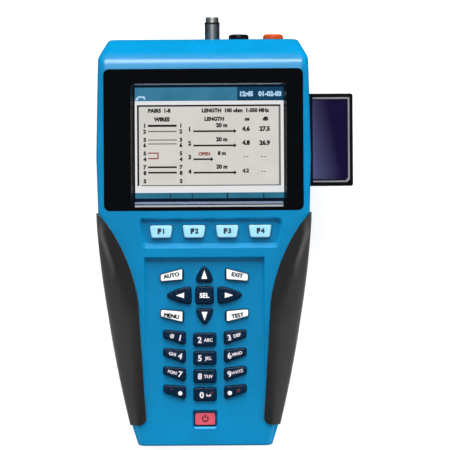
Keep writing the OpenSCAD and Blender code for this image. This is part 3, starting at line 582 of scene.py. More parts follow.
class Paint:
    """All finishes of the tester, in display colours."""

    HOUSING = Moulded("housing_blue", (2, 119, 168), 0.2, depth=0.006)
    GRIP = GripRubber("grip_rubber", (16, 16, 18), 0.42, sheen=0.25)
    BEZEL = Gloss("bezel_black", (6, 7, 10), 0.12)
    WINDOW = Clear("window_clear", (250, 252, 255), 0.02)
    GLASS = Gloss("lcd_glass", (22, 34, 52), 0.2)
    MAT = Rubber("mat_rubber", (58, 60, 64), 0.6)
    BOARD = Board("board_green", (12, 84, 52), 0.35)
    BLACK = Moulded("black_plastic", (24, 24, 27), 0.45)
    CARD = Moulded("card_plastic", (7, 6, 8), 0.32, gloss=0.12)
    GOLD = Turned("gold_contact", (228, 186, 104), 0.28)
    NICKEL = Turned("nickel", (176, 176, 172), 0.34)
    # Its tip colour is a painted highlight on the coax nose.
    BARREL = Turned("barrel_nickel", (206, 206, 203), 0.36, tip=(250, 250, 246), tip_y=102.85)
    # A dark band painted as shade behind the coax nose.
    SEAL = Rubber("shade_band_dark", (26, 22, 19), 0.5)
    WHITE = Moulded("white_insulator", (232, 230, 222), 0.4)
    JET = Gloss("black_gloss", (11, 9, 16), 0.26, gloss=0.3)
    RED = Gloss("red_plastic", (178, 66, 18), 0.28, gloss=0.4)
    BRASS = Turned("brass_sleeve", (206, 178, 120), 0.3)
    CELL = Gloss("cell_wrap", (44, 92, 74), 0.3)
    DARK_STEEL = Turned("dark_steel", (78, 80, 84), 0.4)
    STEEL = Turned("steel", (168, 170, 172), 0.35)
    RIBBON = Moulded("ribbon_grey", (168, 168, 162), 0.5)
    KEY_PALE = Moulded("key_pale", (148, 207, 234), 0.36, grain=0.4, depth=0.006)
    KEY_BLACK = Moulded("key_black", (3, 28, 50), 0.28, grain=0.4, depth=0.006, gloss=0.3)
    INK_WHITE = Ink("ink_white", (244, 244, 242))
    INK_PALE = Ink("ink_pale", (216, 208, 214))
    INK_DARK = Ink("ink_dark", (24, 20, 20))
    INK_TEAL = Ink("ink_teal", (12, 38, 50))
    INK_RED = Ink("ink_red", (92, 16, 20))
    INK_RUST = Ink("ink_rust", (104, 34, 36))
    # A painted highlight: a paler blue strip on the power pocket's lower lip.
    LIP = Ink("lip_highlight_blue", (70, 160, 208), 0.3)
    LABEL = Label("card_label", (60, 56, 88), 0.3)
    LABEL_LINE = Ink("label_line", (128, 126, 132), 0.4)
    # Painted light on the window's lips: a painted highlight on the lower edge, a painted reflection on
    # the lower face and a painted highlight on the upper lip.
    SILL_EDGE = Ink("sill_edge", (110, 117, 120), 0.4)
    SILL_FACE = Ink("sill_face", (70, 87, 112), 0.4)
    SILL_TOP = Ink("sill_top", (140, 156, 172), 0.4)
    LIT_PAPER = Lit("lit_paper", (227, 222, 214), second=(218, 214, 206))
    LIT_WHITE = Lit("lit_white", (240, 240, 240))
    LIT_TITLE = Lit("lit_title", (54, 121, 151), second=(72, 137, 170))
    LIT_NAVY = Lit("lit_navy", (14, 62, 94), second=(22, 78, 110))
    LIT_SHADE = Lit("lit_shade", (3, 16, 36), second=(8, 26, 48))
    LIT_SKY = Lit("lit_sky", (186, 222, 248))
    LIT_FOOT = Lit("lit_foot", (42, 111, 137), second=(54, 126, 152))
    LIT_DARK = Lit("lit_dark", (22, 19, 19), second=(38, 29, 27))
    LIT_GREY = Lit("lit_grey", (120, 116, 114))
    LIT_RED = Lit("lit_red", (160, 86, 76))
    FLOOR = Backdrop("floor_white", (165, 165, 165))


@dataclass(frozen=True)
class Surface:
    """Finish and edge treatment of some CAD nodes."""

    nodes: tuple[str, ...]
    finish: Finish
    bevel: float = 0.0
    angle: float = 32.0


def shading_group(angle: float) -> bpy.types.GeometryNodeTree:
    """Node group that welds a mesh and shades it smooth up to an angle.

    Args:
        angle: Greatest smooth angle in degrees.

    Returns:
        The node group.
    """
    name = f"weld_and_shade_{angle:.0f}"
    if name in bpy.data.node_groups:
        return bpy.data.node_groups[name]
    tree = bpy.data.node_groups.new(name, "GeometryNodeTree")
    tree.interface.new_socket("Geometry", in_out="INPUT", socket_type="NodeSocketGeometry")
    tree.interface.new_socket("Geometry", in_out="OUTPUT", socket_type="NodeSocketGeometry")
    source = tree.nodes.new("NodeGroupInput")
    target = tree.nodes.new("NodeGroupOutput")
    weld = tree.nodes.new("GeometryNodeMergeByDistance")
    weld.inputs["Distance"].default_value = WELD_M
    smooth = tree.nodes.new("GeometryNodeSetShadeSmooth")
    sharp = tree.nodes.new("GeometryNodeSetShadeSmooth")
    sharp.domain = "EDGE"
    sharp.inputs["Shade Smooth"].default_value = False
    edge = tree.nodes.new("GeometryNodeInputMeshEdgeAngle")
    over = tree.nodes.new("FunctionNodeCompare")
    over.data_type = "FLOAT"
    over.operation = "GREATER_THAN"
    over.inputs[1].default_value = math.radians(angle)
    tree.links.new(source.outputs[0], weld.inputs["Geometry"])
    tree.links.new(weld.outputs["Geometry"], smooth.inputs["Geometry"])
    tree.links.new(smooth.outputs["Geometry"], sharp.inputs["Geometry"])
    tree.links.new(edge.outputs["Unsigned Angle"], over.inputs[0])
    tree.links.new(over.outputs["Result"], sharp.inputs["Selection"])
    tree.links.new(sharp.outputs["Geometry"], target.inputs[0])
    return tree


@dataclass
class CadNodes:
    """Gives the carried-over CAD nodes their finishes, smooth shading and soft edges."""

    surfaces: tuple[Surface, ...]

    def dress(self) -> None:
        """Dresses every listed node."""
        for surface in self.surfaces:
            for node in surface.nodes:
                self.one(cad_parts[node], surface)
                log.info("dressed %s", node)

    def one(self, obj: bpy.types.Object, surface: Surface) -> None:
        """Dresses one node.

        Args:
            obj: The node's object.
            surface: Its finish and edges.
        """
        obj.data.materials.clear()
        obj.data.materials.append(material(surface.finish))
        shade = obj.modifiers.new("shade", "NODES")
        shade.node_group = shading_group(surface.angle)
        if surface.bevel > 0:
            bevel = obj.modifiers.new("edges", "BEVEL")
            bevel.width = surface.bevel * MM
            bevel.segments = BEVEL_SEGMENTS
            bevel.limit_method = "ANGLE"
            bevel.angle_limit = math.radians(surface.angle)
            bevel.use_clamp_overlap = True
        normals = obj.modifiers.new("normals", "WEIGHTED_NORMAL")
        normals.keep_sharp = True


@dataclass
class Shape:
    """Mesh under construction, in mm."""

    bm: bmesh.types.BMesh = field(default_factory=bmesh.new)

    def slab(self, corners: list[Place], rise: float) -> "Shape":
        """Adds a closed plate on a loop of corners.

        Args:
            corners: Corners of its lower face, counter-clockwise.
            rise: Thickness along Z.

        Returns:
            This shape.
        """
        low = [self.bm.verts.new(corner) for corner in corners]
        high = [self.bm.verts.new((x, y, z + rise)) for x, y, z in corners]
        self.bm.faces.new(low[::-1])
        self.bm.faces.new(high)
        for i in range(len(corners)):
            j = (i + 1) % len(corners)
            self.bm.faces.new((low[i], low[j], high[j], high[i]))
        return self

    def plate(self, outline: list[Point], z: float, rise: float) -> "Shape":
        """Adds a level plate on an outline that runs counter-clockwise, with its lower face at z."""
        return self.slab([(x, y, z) for x, y in outline], rise)

    def bar(self, box: Box, z: float, rise: float) -> "Shape":
        """Adds a level plate between a left, a lower, a right and an upper edge."""
        x0, y0, x1, y1 = box
        return self.plate([(x0, y0), (x1, y0), (x1, y1), (x0, y1)], z, rise)

    def ramp(self, sides: Point, start: Point, end: Point, rise: float) -> "Shape":
        """Adds a plate between two sides, from one Y and Z of its lower face to another."""
        x0, x1 = sides
        return self.slab([(x0, *start), (x1, *start), (x1, *end), (x0, *end)], rise)

    def disc(self, middle: Point, r: float, z: float, rise: float, sides: int = 20) -> "Shape":
        """Adds a round plate.

        Args:
            middle: Its middle.
            r: Radius.
            z: Height of its lower face.
            rise: Thickness.
            sides: Corners.

        Returns:
            This shape.
        """
        x, y = middle
        turns = [2 * math.pi * i / sides for i in range(sides)]
        return self.plate([(x + r * math.cos(a), y + r * math.sin(a)) for a in turns], z, rise)

    def arc(self, middle: Point, radii: Point, turn: Point, z: float, rise: float, steps: int) -> "Shape":
        """Adds part of a flat ring.

        Args:
            middle: Its middle.
            radii: Inner and outer radius.
            turn: First and last angle in degrees.
            z: Height of its lower face.
            rise: Thickness.
            steps: Straight pieces that make it up.

        Returns:
            This shape.
        """
        x, y = middle
        inner, outer = radii
        start, end = turn
        angles = [math.radians(start + (end - start) * k / steps) for k in range(steps + 1)]
        for a, b in zip(angles, angles[1:]):
            corners = ((inner, a), (outer, a), (outer, b), (inner, b))
            self.plate([(x + r * math.cos(t), y + r * math.sin(t)) for r, t in corners], z, rise)
        return self

    def text(self, words: str, cap: float, at: Place, rise: float, angle: float, bold: float) -> "Shape":
        """Adds lettering as solid glyphs, centred on a point.

        Args:
            words: The characters.
            cap: Height of a capital.
            at: Middle in X and Y, and height of the lower face.
            rise: Thickness.
            angle: Turn in degrees.
            bold: Growth of the strokes, as a share of the size.

        Returns:
            This shape.
        """
        curve = bpy.data.curves.new("lettering", "FONT")
        curve.body = words
        curve.size = 1.0
        curve.extrude = 0.5
        curve.offset = bold
        curve.resolution_u = 3
        obj = bpy.data.objects.new("lettering", curve)
        bpy.context.scene.collection.objects.link(obj)
        bpy.context.view_layer.update()
        mesh = bpy.data.meshes.new_from_object(obj.evaluated_get(bpy.context.evaluated_depsgraph_get()))
        xs = [v.co.x for v in mesh.vertices]
        size = cap / CAP_SHARE
        x, y, z = at
        mesh.transform(
            Matrix.Translation((x, y, z + rise / 2))
            @ Matrix.Rotation(math.radians(angle), 4, "Z")
            @ Matrix.Diagonal((size, size, rise, 1))
            @ Matrix.Translation((-(min(xs) + max(xs)) / 2, -CAP_SHARE / 2, 0)))
        self.bm.from_mesh(mesh)
        bpy.data.objects.remove(obj)
        bpy.data.curves.remove(curve)
        bpy.data.meshes.remove(mesh)
        return self

    def build(self, name: str, finish: Finish) -> bpy.types.Object:
        """Finishes the shape as an object of the scene.

        Args:
            name: Name of the object.
            finish: Its finish.

        Returns:
            The new object.
        """
        bmesh.ops.scale(self.bm, vec=(MM, MM, MM), verts=self.bm.verts)
        mesh = bpy.data.meshes.new(name)
        self.bm.to_mesh(mesh)
        self.bm.free()
        mesh.materials.append(material(finish))
        obj = bpy.data.objects.new(name, mesh)
        bpy.context.scene.collection.objects.link(obj)
        return obj

    def piece(self, name: str, finish: Finish, body: str = Body.HOUSING.value) -> None:
        """Finishes the shape as a piece that rides on a body.

        Args:
            name: Name of the piece.
            finish: Its finish.
            body: Name of the body.
        """
        obj = self.build(name, finish)
        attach(obj, body)
        log.info("made %s on %s", name, body)


@dataclass
class DisplayPicture:
    """Wire-map picture on the display, laid out in mm from its upper left corner.

    Its pieces lie in thin layers above base, and each fills most of its layer. The title bar ends at
    title and changes its colour at title_split. The foot bar has an upper and a lower edge. The
    picture is dark down to top_shade and from foot_shade on.
    """

    left: float = -31.6
    top: float = 72.2
    width: float = 68.6
    height: float = 53.8
    base: float = 40.41
    layer: float = 0.014
    fill: float = 0.8
    bold: float = 0.065
    title: float = 7.3
    title_split: float = 47.2
    top_shade: float = 1.05
    paper: Box = (1.2, 9.4, 67.2, 46.4)
    foot: Point = (49.6, 52.3)
    foot_shade: float = 52.2

    @property
    def rise(self) -> float:
        """Thickness of a piece."""
        return self.layer * self.fill

    def spot(self, u: float, v: float) -> Point:
        """Point at u from the picture's left edge and v down from its upper edge."""
        return self.left + u, self.top - v

    def z(self, level: Layer) -> float:
        """Height of a layer's lower face."""
        return self.base + level * self.layer

    def bar(self, shape: Shape, box: Box, level: Layer) -> None:
        """Adds a bar of the picture.

        Args:
            shape: Shape that takes the bar.
            box: Left, upper, right and lower edge.
            level: Layer of the picture.
        """
        x0, y1 = self.spot(box[0], box[1])
        x1, y0 = self.spot(box[2], box[3])
        shape.bar((x0, y0, x1, y1), self.z(level), self.rise)

    def bars(self, name: str, finish: Finish, level: Layer, boxes: list[Box]) -> None:
        """Makes a piece of several bars.

        Args:
            name: Name of the piece.
            finish: Its finish.
            level: Layer of the picture.
            boxes: Left, upper, right and lower edge of each bar.
        """
        shape = Shape()
        for box in boxes:
            self.bar(shape, box, level)
        shape.piece(name, finish)

    def words(self, shape: Shape, items: list[tuple[str, float, float, float]],
              level: Layer = Layer.PRINT) -> Shape:
        """Adds lettering of the picture.

        Args:
            shape: Shape that takes the lettering.
            items: Characters, middle across, middle down and capital height.
            level: Layer of the picture.

        Returns:
            The shape.
        """
        for text, u, v, cap in items:
            shape.text(text, cap, (*self.spot(u, v), self.z(level)), self.rise, 0, self.bold)
        return shape

    def build(self) -> None:
        """Builds the whole picture."""
        wide, high, split = self.width, self.height, self.title_split
        self.bars("lcd_ground", Paint.LIT_WHITE, Layer.GROUND, [(0, 0, wide, high)])
        self.bars("lcd_title", Paint.LIT_TITLE, Layer.FIELD, [(0, 0, split, self.title)])
        self.bars("lcd_title_end", Paint.LIT_NAVY, Layer.FIELD, [(split, 0, wide, self.title)])
        shades = [(0, 0, wide, self.top_shade), (0, self.foot_shade, wide, high)]
        self.bars("lcd_shade", Paint.LIT_SHADE, Layer.FRAME, shades)
        self.bars("lcd_foot", Paint.LIT_FOOT, Layer.FIELD, [(0, self.foot[0], wide, self.foot[1])])
        self.bars("lcd_paper", Paint.LIT_PAPER, Layer.FIELD, [self.paper])
        self.frame_lines()
        self.wire_map()
        self.lengths()
        self.readings()
        self.status()

    def frame_lines(self) -> None:
        """Builds the panel's frame and the footer's dividers."""
        self.bars("lcd_frame", Paint.LIT_DARK, Layer.FRAME, [
            (1.2, 9.1, 67.2, 9.9),
            (1.0, 9.1, 1.85, 46.4),
            (16.0, 49.8, 16.4, 52.1),
            (26.2, 49.8, 26.5, 52.1),
            (42.2, 49.8, 42.8, 52.1),
            (59.0, 49.8, 59.4, 52.1)])
        self.bars("lcd_frame_soft", Paint.LIT_GREY, Layer.FRAME, [
            (66.3, 9.9, 67.2, 46.4),
            (3.0, 46.0, 67.2, 46.5)])

    def wire_map(self) -> None:
        """Builds the pairs of wires at the left, with a pin number at both ends."""
        self.bars("lcd_wires", Paint.LIT_DARK, Layer.PRINT, [
            (6.0, 18.2, 19.2, 19.2),
            (6.0, 37.4, 19.2, 38.2),
            (6.0, 39.9, 19.2, 40.7)])
        self.bars("lcd_wires_soft", Paint.LIT_GREY, Layer.PRINT, [
            (6.0, 21.0, 19.2, 21.6),
            (6.0, 25.0, 19.2, 25.5),
            (6.0, 26.8, 19.2, 27.3)])
        self.bars("lcd_fault", Paint.LIT_RED, Layer.PRINT, [
            (6.0, 31.0, 10.9, 31.6),
            (6.0, 33.5, 10.9, 34.1),
            (10.3, 31.6, 10.9, 33.5)])
        pins = zip("12365478S", (18.6, 21.3, 25.1, 27.6, 31.4, 34.1, 37.7, 40.4, 44.2))
        cap, columns = 1.75, (4.5, 21.2)
        items = [(pin, u, v, cap) for pin, v in pins for u in columns]
        self.words(Shape(), items).piece("lcd_pins", Paint.LIT_DARK)

    def arrow(self, shape: Shape, start: float, end: float, v: float) -> None:
        """Adds a length arrow.

        Args:
            shape: Shape that takes the arrow.
            start: Left end of its shaft.
            end: Right end of its shaft.
            v: Distance down from the picture's upper edge.
        """
        half, back, tip, barb = 0.39, 0.6, 0.7, 1.0
        self.bar(shape, (start, v - half, end, v + half), Layer.PRINT)
        x, y = self.spot(end, v)
        head = [(x - back, y - barb), (x + tip, y), (x - back, y + barb)]
        shape.plate(head, self.z(Layer.PRINT), self.rise)

    def lengths(self) -> None:
        """Builds the length arrows, the headings and the two columns of readings."""
        shape = Shape()
        start, full, short = 26.9, 46.2, 35.5
        for v, end in ((21.3, full), (27.9, full), (34.2, short), (40.4, full)):
            self.arrow(shape, start, end, v)
        self.words(shape, [
            ("PAIRS  1-8", 11.3, 11.7, 1.7),
            ("WIRES", 12.4, 15.7, 1.8),
            ("LENGTH  100 ohm  1-350 MHz", 46.4, 11.7, 1.7),
            ("LENGTH", 36.6, 15.6, 1.7),
            ("ns", 51.8, 15.6, 1.7),
            ("dB", 60.2, 15.6, 1.7),
            ("1", 25.2, 20.3, 1.9),
            ("2", 25.2, 26.8, 1.9),
            ("3", 25.2, 33.2, 1.9),
            ("4", 25.2, 39.8, 1.9),
            ("20 m", 40.0, 18.5, 1.8),
            ("20 m", 40.0, 25.0, 1.8),
            ("8 m", 40.0, 31.4, 1.7),
            ("20 m", 40.0, 37.6, 1.8),
            ("4.6", 51.2, 20.2, 2.0),
            ("4.8", 51.2, 26.6, 2.0),
            ("4.2", 51.0, 39.5, 1.7),
            ("27.5", 59.8, 20.2, 2.0),
            ("26.9", 59.8, 26.7, 2.0)])
        shape.piece("lcd_lengths", Paint.LIT_DARK)

    def readings(self) -> None:
        """Builds the places without a reading and the word for the fault."""
        blanks = [("- -", 51.2, 32.9, 1.5), ("- -", 59.2, 32.9, 1.5), ("- -", 59.2, 39.7, 1.5)]
        self.words(Shape(), blanks).piece("lcd_blanks", Paint.LIT_GREY)
        self.words(Shape(), [("OPEN", 31.9, 31.7, 1.5)]).piece("lcd_fault_word", Paint.LIT_RED)

    def status(self) -> None:
        """Builds the pale marks in the title bar: a receiver, the time and the date."""
        receiver = ((0.3, 7.0), (1.2, 7.0), (2.0, 5.8), (3.9, 5.8), (4.3, 6.5),
                    (5.1, 6.5), (4.5, 5.0), (1.6, 5.0), (0.3, 6.2))
        shape = Shape().plate([self.spot(u, v) for u, v in receiver], self.z(Layer.FRAME), self.rise)
        self.words(shape, [("12:45   01-02-03", 58.1, 4.1, 2.1)], Layer.FRAME)
        shape.piece("lcd_status", Paint.LIT_SKY)


@dataclass
class DisplaySill:
    """Strips of painted highlight and painted reflection on the lower and upper lips of the window's
    opening.

    The lower lip falls from the bezel's face to its foot, from its outer edge at y inwards. The
    strips are longer than the picture by an overhang at the left and one at the right.
    """

    picture: DisplayPicture
    overhang: Point = (0.8, 0.2)
    y: float = 15.9
    width: float = 2.6
    sunk: float = 0.03
    rise: float = 0.06
    edge: Point = (0.1, 0.95)
    face: Point = (1.4, 2.5)
    upper: tuple[Point, Point] = ((72.3, 42.79), (72.8, 43.6))

    def lip(self, across: float) -> Point:
        """Y and Z of a point on the lower lip, a hair inside it, across from its outer edge."""
        foot, top = (corner.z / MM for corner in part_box("display_bezel"))
        return self.y + across, top + (foot - top) * across / self.width - self.sunk

    def build(self) -> None:
        """Builds the three strips."""
        # Painted highlight on the lip's edge, painted reflection on its face and painted highlight on the
        # upper lip.
        strips = (
            ("sill_edge", Paint.SILL_EDGE, [self.lip(across) for across in self.edge]),
            ("sill_face", Paint.SILL_FACE, [self.lip(across) for across in self.face]),
            ("sill_top", Paint.SILL_TOP, self.upper))
        left, right = self.picture.left, self.picture.left + self.picture.width
        sides = (left - self.overhang[0], right + self.overhang[1])
        for name, finish, (start, end) in strips:
            Shape().ramp(sides, start, end, self.rise).piece(name, finish)


@dataclass(frozen=True)
class Mark:
    """Size, place and turn of lettering on a key."""

    cap: float
    x: float
    y: float = 0.0
    angle: float = 0.0
    bold: float = 0.03


@dataclass
class KeyLegends:
    """Printed legends, each riding on its key. Marks count from the middle line and the key row."""

    rise: float = 0.02
    sunk: float = 0.004
    soft_middle: float = 3.0
    soft_pitch: float = 15.2
    soft_y: float = 4.95
    soft_letter: Mark = Mark(2.15, -0.75, bold=0.1)
    soft_digit: Mark = Mark(2.15, 1.2, bold=0.06)
    nav_y: float = -24.7
    select: Mark = Mark(2.2, 0)
    light: Mark = Mark(1.85, 15.2, 9.3, -10, 0)
    strikes: tuple[Point, ...] = ((-0.2, 0.0), (0.2, 0.0), (0.0, -0.14), (0.0, 0.14))
    strike_step: float = 0.004
    rows: tuple[float, ...] = (-45.1, -53.47, -61.84, -70.21)
    middle_digit: Mark = Mark(2.75, -2.3)
    middle_letters: Mark = Mark(1.5, 1.6, -0.1)
    side_digit: Mark = Mark(2.65, 11.3, 1.0, 12)
    side_letters: Mark = Mark(1.45, 14.9, 1.95, 14)
    four_letters: Mark = Mark(1.3, 14.9, 1.95, 14)
    zero: Mark = Mark(2.8, -1.5, -0.2)
    plus: Mark = Mark(1.7, 3.3, 0.9)
    sign: Mark = Mark(1.7, 15.4, 1.9, 14)
    dot: Point = (11.4, 0.6)
    dot_r: float = 0.95
    power_y: float = -81.7

    def top(self, node: str) -> float:
        """Height a hair inside the top face of a key's node."""
        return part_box(node)[1].z / MM - self.sunk

    def finish(self, shape: Shape, node: str, finish: Finish, suffix: str = "legend") -> None:
        """Makes a legend's piece on the body of its key."""
        shape.piece(f"{node}_{suffix}", finish, f"{node}_body")

    def letter(self, shape: Shape, node: str, text: str, mark: Mark, at: Place, side: int = 1) -> Shape:
        """Adds lettering to a key's legend.

        Args:
            shape: The legend.
            node: The key's node.
            text: The characters.
            mark: Size, place and turn.
            at: Point that the mark's place counts from, and height above the key's top.
            side: -1 to mirror the place and the turn for the left column.

        Returns:
            The legend.
        """
        x, y, z = at
        middle = (x + side * mark.x, y + mark.y, self.top(node) + z)
        return shape.text(text, mark.cap, middle, self.rise, side * mark.angle, mark.bold)

    def build(self) -> None:
        """Prints every legend."""
        self.soft_keys()
        self.arrows()
        self.light_keys()
        self.numbers()
        self.last_row()
        self.power()

    def soft_keys(self) -> None:
        """Prints the numbers of the four soft keys."""
        for i in FOUR:
            node, from_middle = f"soft_key_{i}", i - sum(FOUR) / len(FOUR)
            at = (self.soft_middle + from_middle * self.soft_pitch, self.soft_y, 0)
            shape = self.letter(Shape(), node, "F", self.soft_letter, at)
            self.letter(shape, node, str(i), self.soft_digit, at)
            self.finish(shape, node, Paint.INK_TEAL)

    def arrows(self) -> None:
        """Prints the arrows around the select key and its word."""
        tip, base, half = 11.6, 7.6, 1.35
        far, near, side = 13.2, 9.4, 1.25
        y = self.nav_y
        shapes = {
            "nav_up": [(-half, y + base), (half, y + base), (0, y + tip)],
            "nav_down": [(-half, y - base), (0, y - tip), (half, y - base)],
            "nav_left": [(-near, y - side), (-near, y + side), (-far, y)],
            "nav_right": [(near, y - side), (far, y), (near, y + side)]}
        for node, outline in shapes.items():
            self.finish(Shape().plate(outline, self.top(node), self.rise), node, Paint.INK_WHITE)
        select = self.letter(Shape(), "nav_select", "SEL", self.select, (0, y, 0))
        self.finish(select, "nav_select", Paint.INK_WHITE)

    def light_keys(self) -> None:
        """Prints the words of the four light keys, each struck a few times for thick strokes."""
        words = (("AUTO", -1, 1), ("EXIT", 1, 1), ("MENU", -1, -1), ("TEST", 1, -1))
        for i, (word, sx, sy) in zip(FOUR, words):
            node = f"light_key_{i}"
            mark = replace(self.light, y=sy * self.light.y, angle=sy * self.light.angle)
            shape = Shape()
            for k, (dx, dy) in enumerate(self.strikes):
                self.letter(shape, node, word, mark, (dx, self.nav_y + dy, k * self.strike_step), sx)
            self.finish(shape, node, Paint.INK_DARK)

    def numbers(self) -> None:
        """Prints the digits and letters of the first nine number keys."""
        letters = ("@", "ABC", "DEF", "GHI", "JKL", "MNO", "PQRS", "TUV", "WXYZ")
        for i, word in enumerate(letters):
            row, column = divmod(i, 3)
            node, at = f"key_{i + 1}", (0, self.rows[row], 0)
            side_word = self.four_letters if len(word) == 4 else self.side_letters
            side, pair = column - 1, (self.side_digit, side_word)
            if column == 1:
                side, pair = 1, (self.middle_digit, self.middle_letters)
            shape = Shape()
            for text, mark in zip((str(i + 1), word), pair):
                self.letter(shape, node, text, mark, at, side)
            self.finish(shape, node, Paint.INK_PALE)

    def last_row(self) -> None:
        """Prints the zero with its space sign and plus, and the dots and signs beside it."""
        y = self.rows[-1]
        at, z = (0, y, 0), self.top("key_0")
        left, right, foot, stroke, head = 0.6, 2.6, -0.9, 0.45, 0.2
        zero = self.letter(Shape(), "key_0", "0", self.zero, at)
        zero.bar((left, y + foot, right, y + foot + stroke), z, self.rise)
        for x in (left, right - stroke):
            zero.bar((x, y + foot + stroke, x + stroke, y + head), z, self.rise)
        self.finish(zero, "key_0", Paint.INK_PALE)
        plus = self.letter(Shape(), "key_0", "+", self.plus, at)
        self.finish(plus, "key_0", Paint.INK_RUST, "sign")
        for node, side, sign in (("key_star", -1, "*"), ("key_hash", 1, "#")):
            middle = (side * self.dot[0], y + self.dot[1])
            dot = Shape().disc(middle, self.dot_r, self.top(node), self.rise)
            self.finish(dot, node, Paint.INK_WHITE)
            mark = self.letter(Shape(), node, sign, self.sign, at, side)
            self.finish(mark, node, Paint.INK_RUST, "sign")

    def power(self) -> None:
        """Prints the power sign, an open ring with a bar."""
        half, foot, head, ring_up = 0.34, 0.4, 2.1, 0.2
        z, middle = self.top("power_key"), (0, self.power_y + ring_up)
        shape = Shape().arc(middle, radii=(0.97, 1.63), turn=(130, 410), z=z, rise=self.rise, steps=23)
        shape.bar((-half, self.power_y + foot, half, self.power_y + head), z, self.rise)
        self.finish(shape, "power_key", Paint.INK_RED)


@dataclass
class PowerLip:
    """Painted highlight on the lower lip of the power key's pocket, in a paler blue than the housing."""

    sides: Point = (-5.3, 5.3)
    inner: Point = (-85.3, 42.4)
    outer: Point = (-85.95, 43.77)
    rise: float = 0.09

    def build(self) -> None:
        """Builds the lip as a sloping strip."""
        Shape().ramp(self.sides, self.inner, self.outer, self.rise).piece("power_lip", Paint.LIP)


@dataclass
class CardLabel:
    """Bare label in the memory card's recess, with a light line on the card's rim."""

    start: float = 17.85
    recess: Point = (2.55, 3.15)
    depth: float = 0.2
    thickness: float = 0.212
    inset: Point = (1.5, 1.75)
    line: float = 0.75
    line_sunk: float = 0.004
    line_rise: float = 0.02
    corner: float = 1.3

    def outline(self, gaps: Point) -> list[Point]:
        """Outline of the label or of the line around it.

        Args:
            gaps: Distance from the card's outer end and from its sides.

        Returns:
            Corners, counter-clockwise, with the lower outer corner cut.
        """
        low, high = (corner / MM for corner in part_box("memory_card"))
        x0, x1 = low.x + self.start, high.x - gaps[0]
        y0, y1 = low.y + gaps[1], high.y - gaps[1]
        return [(x0, y0), (x1 - self.corner, y0), (x1, y0 + self.corner), (x1, y1), (x0, y1)]

    def build(self) -> None:
        """Builds the label and its line on the card."""
        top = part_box("memory_card")[1].z / MM
        label = Shape().plate(self.outline(self.recess), top - self.depth, self.thickness)
        label.piece("card_label", Paint.LABEL, Body.CARD.value)
        outer = self.outline(self.inset)
        inner = self.outline((self.inset[0] + self.line, self.inset[1] + self.line))
        shape = Shape()
        for i in range(len(outer) - 1):
            corners = [outer[i], outer[i + 1], inner[i + 1], inner[i]]
            shape.plate(corners, top - self.line_sunk, self.line_rise)
        shape.piece("card_label_line", Paint.LABEL_LINE, Body.CARD.value)


@dataclass
class CoaxSeal:
    """Dark band around the coax barrel behind its nose, put there as painted shade below the nose's step.
    """

    x: float = 4.2
    z: float = 13.0
    y: float = 101.8
    width: float = 1.0
    r: float = 3.5
    proud: float = 0.06
    chamfer: float = 0.15
    root: float = 0.2
    sides: int = 40

    def section(self) -> list[Point]:
        """Radius and Y of each corner of the band's cross-section."""
        inner, crown, end = self.r - self.root, self.r + self.proud, self.y + self.width
        return [(inner, self.y), (self.r, self.y), (crown, self.y + self.chamfer),
                (crown, end - self.chamfer), (self.r, end), (inner, end)]

    def build(self) -> None:
        """Builds the painted shade band as a closed band with a crowned outside."""
        shape = Shape()
        section = self.section()
        loops = []
        for i in range(self.sides):
            a = 2 * math.pi * i / self.sides
            places = [(self.x + r * math.cos(a), y, self.z + r * math.sin(a)) for r, y in section]
            loops.append([shape.bm.verts.new(place) for place in places])
        for i, loop in enumerate(loops):
            after = loops[(i + 1) % self.sides]
            for k in range(len(section)):
                j = (k + 1) % len(section)
                shape.bm.faces.new((loop[k], loop[j], after[j], after[k]))
        bmesh.ops.recalc_face_normals(shape.bm, faces=shape.bm.faces)
        shape.piece("coax_seal", Paint.SEAL)


@dataclass(frozen=True)
class Softbox:
    """Rectangular light aimed at the object.

    Attributes:
        name: Name of the light.
        watts: Power.
        aim: Degrees from straight above, and degrees from the connector end towards +X.
        away: Distance in metres.
        size: Size along the tilt and across it, in metres.
        reach: What the light adds to.
        centre_y: Y of the place the light is aimed at, in metres.
    """

    name: str
    watts: float
    aim: Point
    away: float
    size: Point
    reach: Reach = Reach.SHADE
    centre_y: float = 0.0


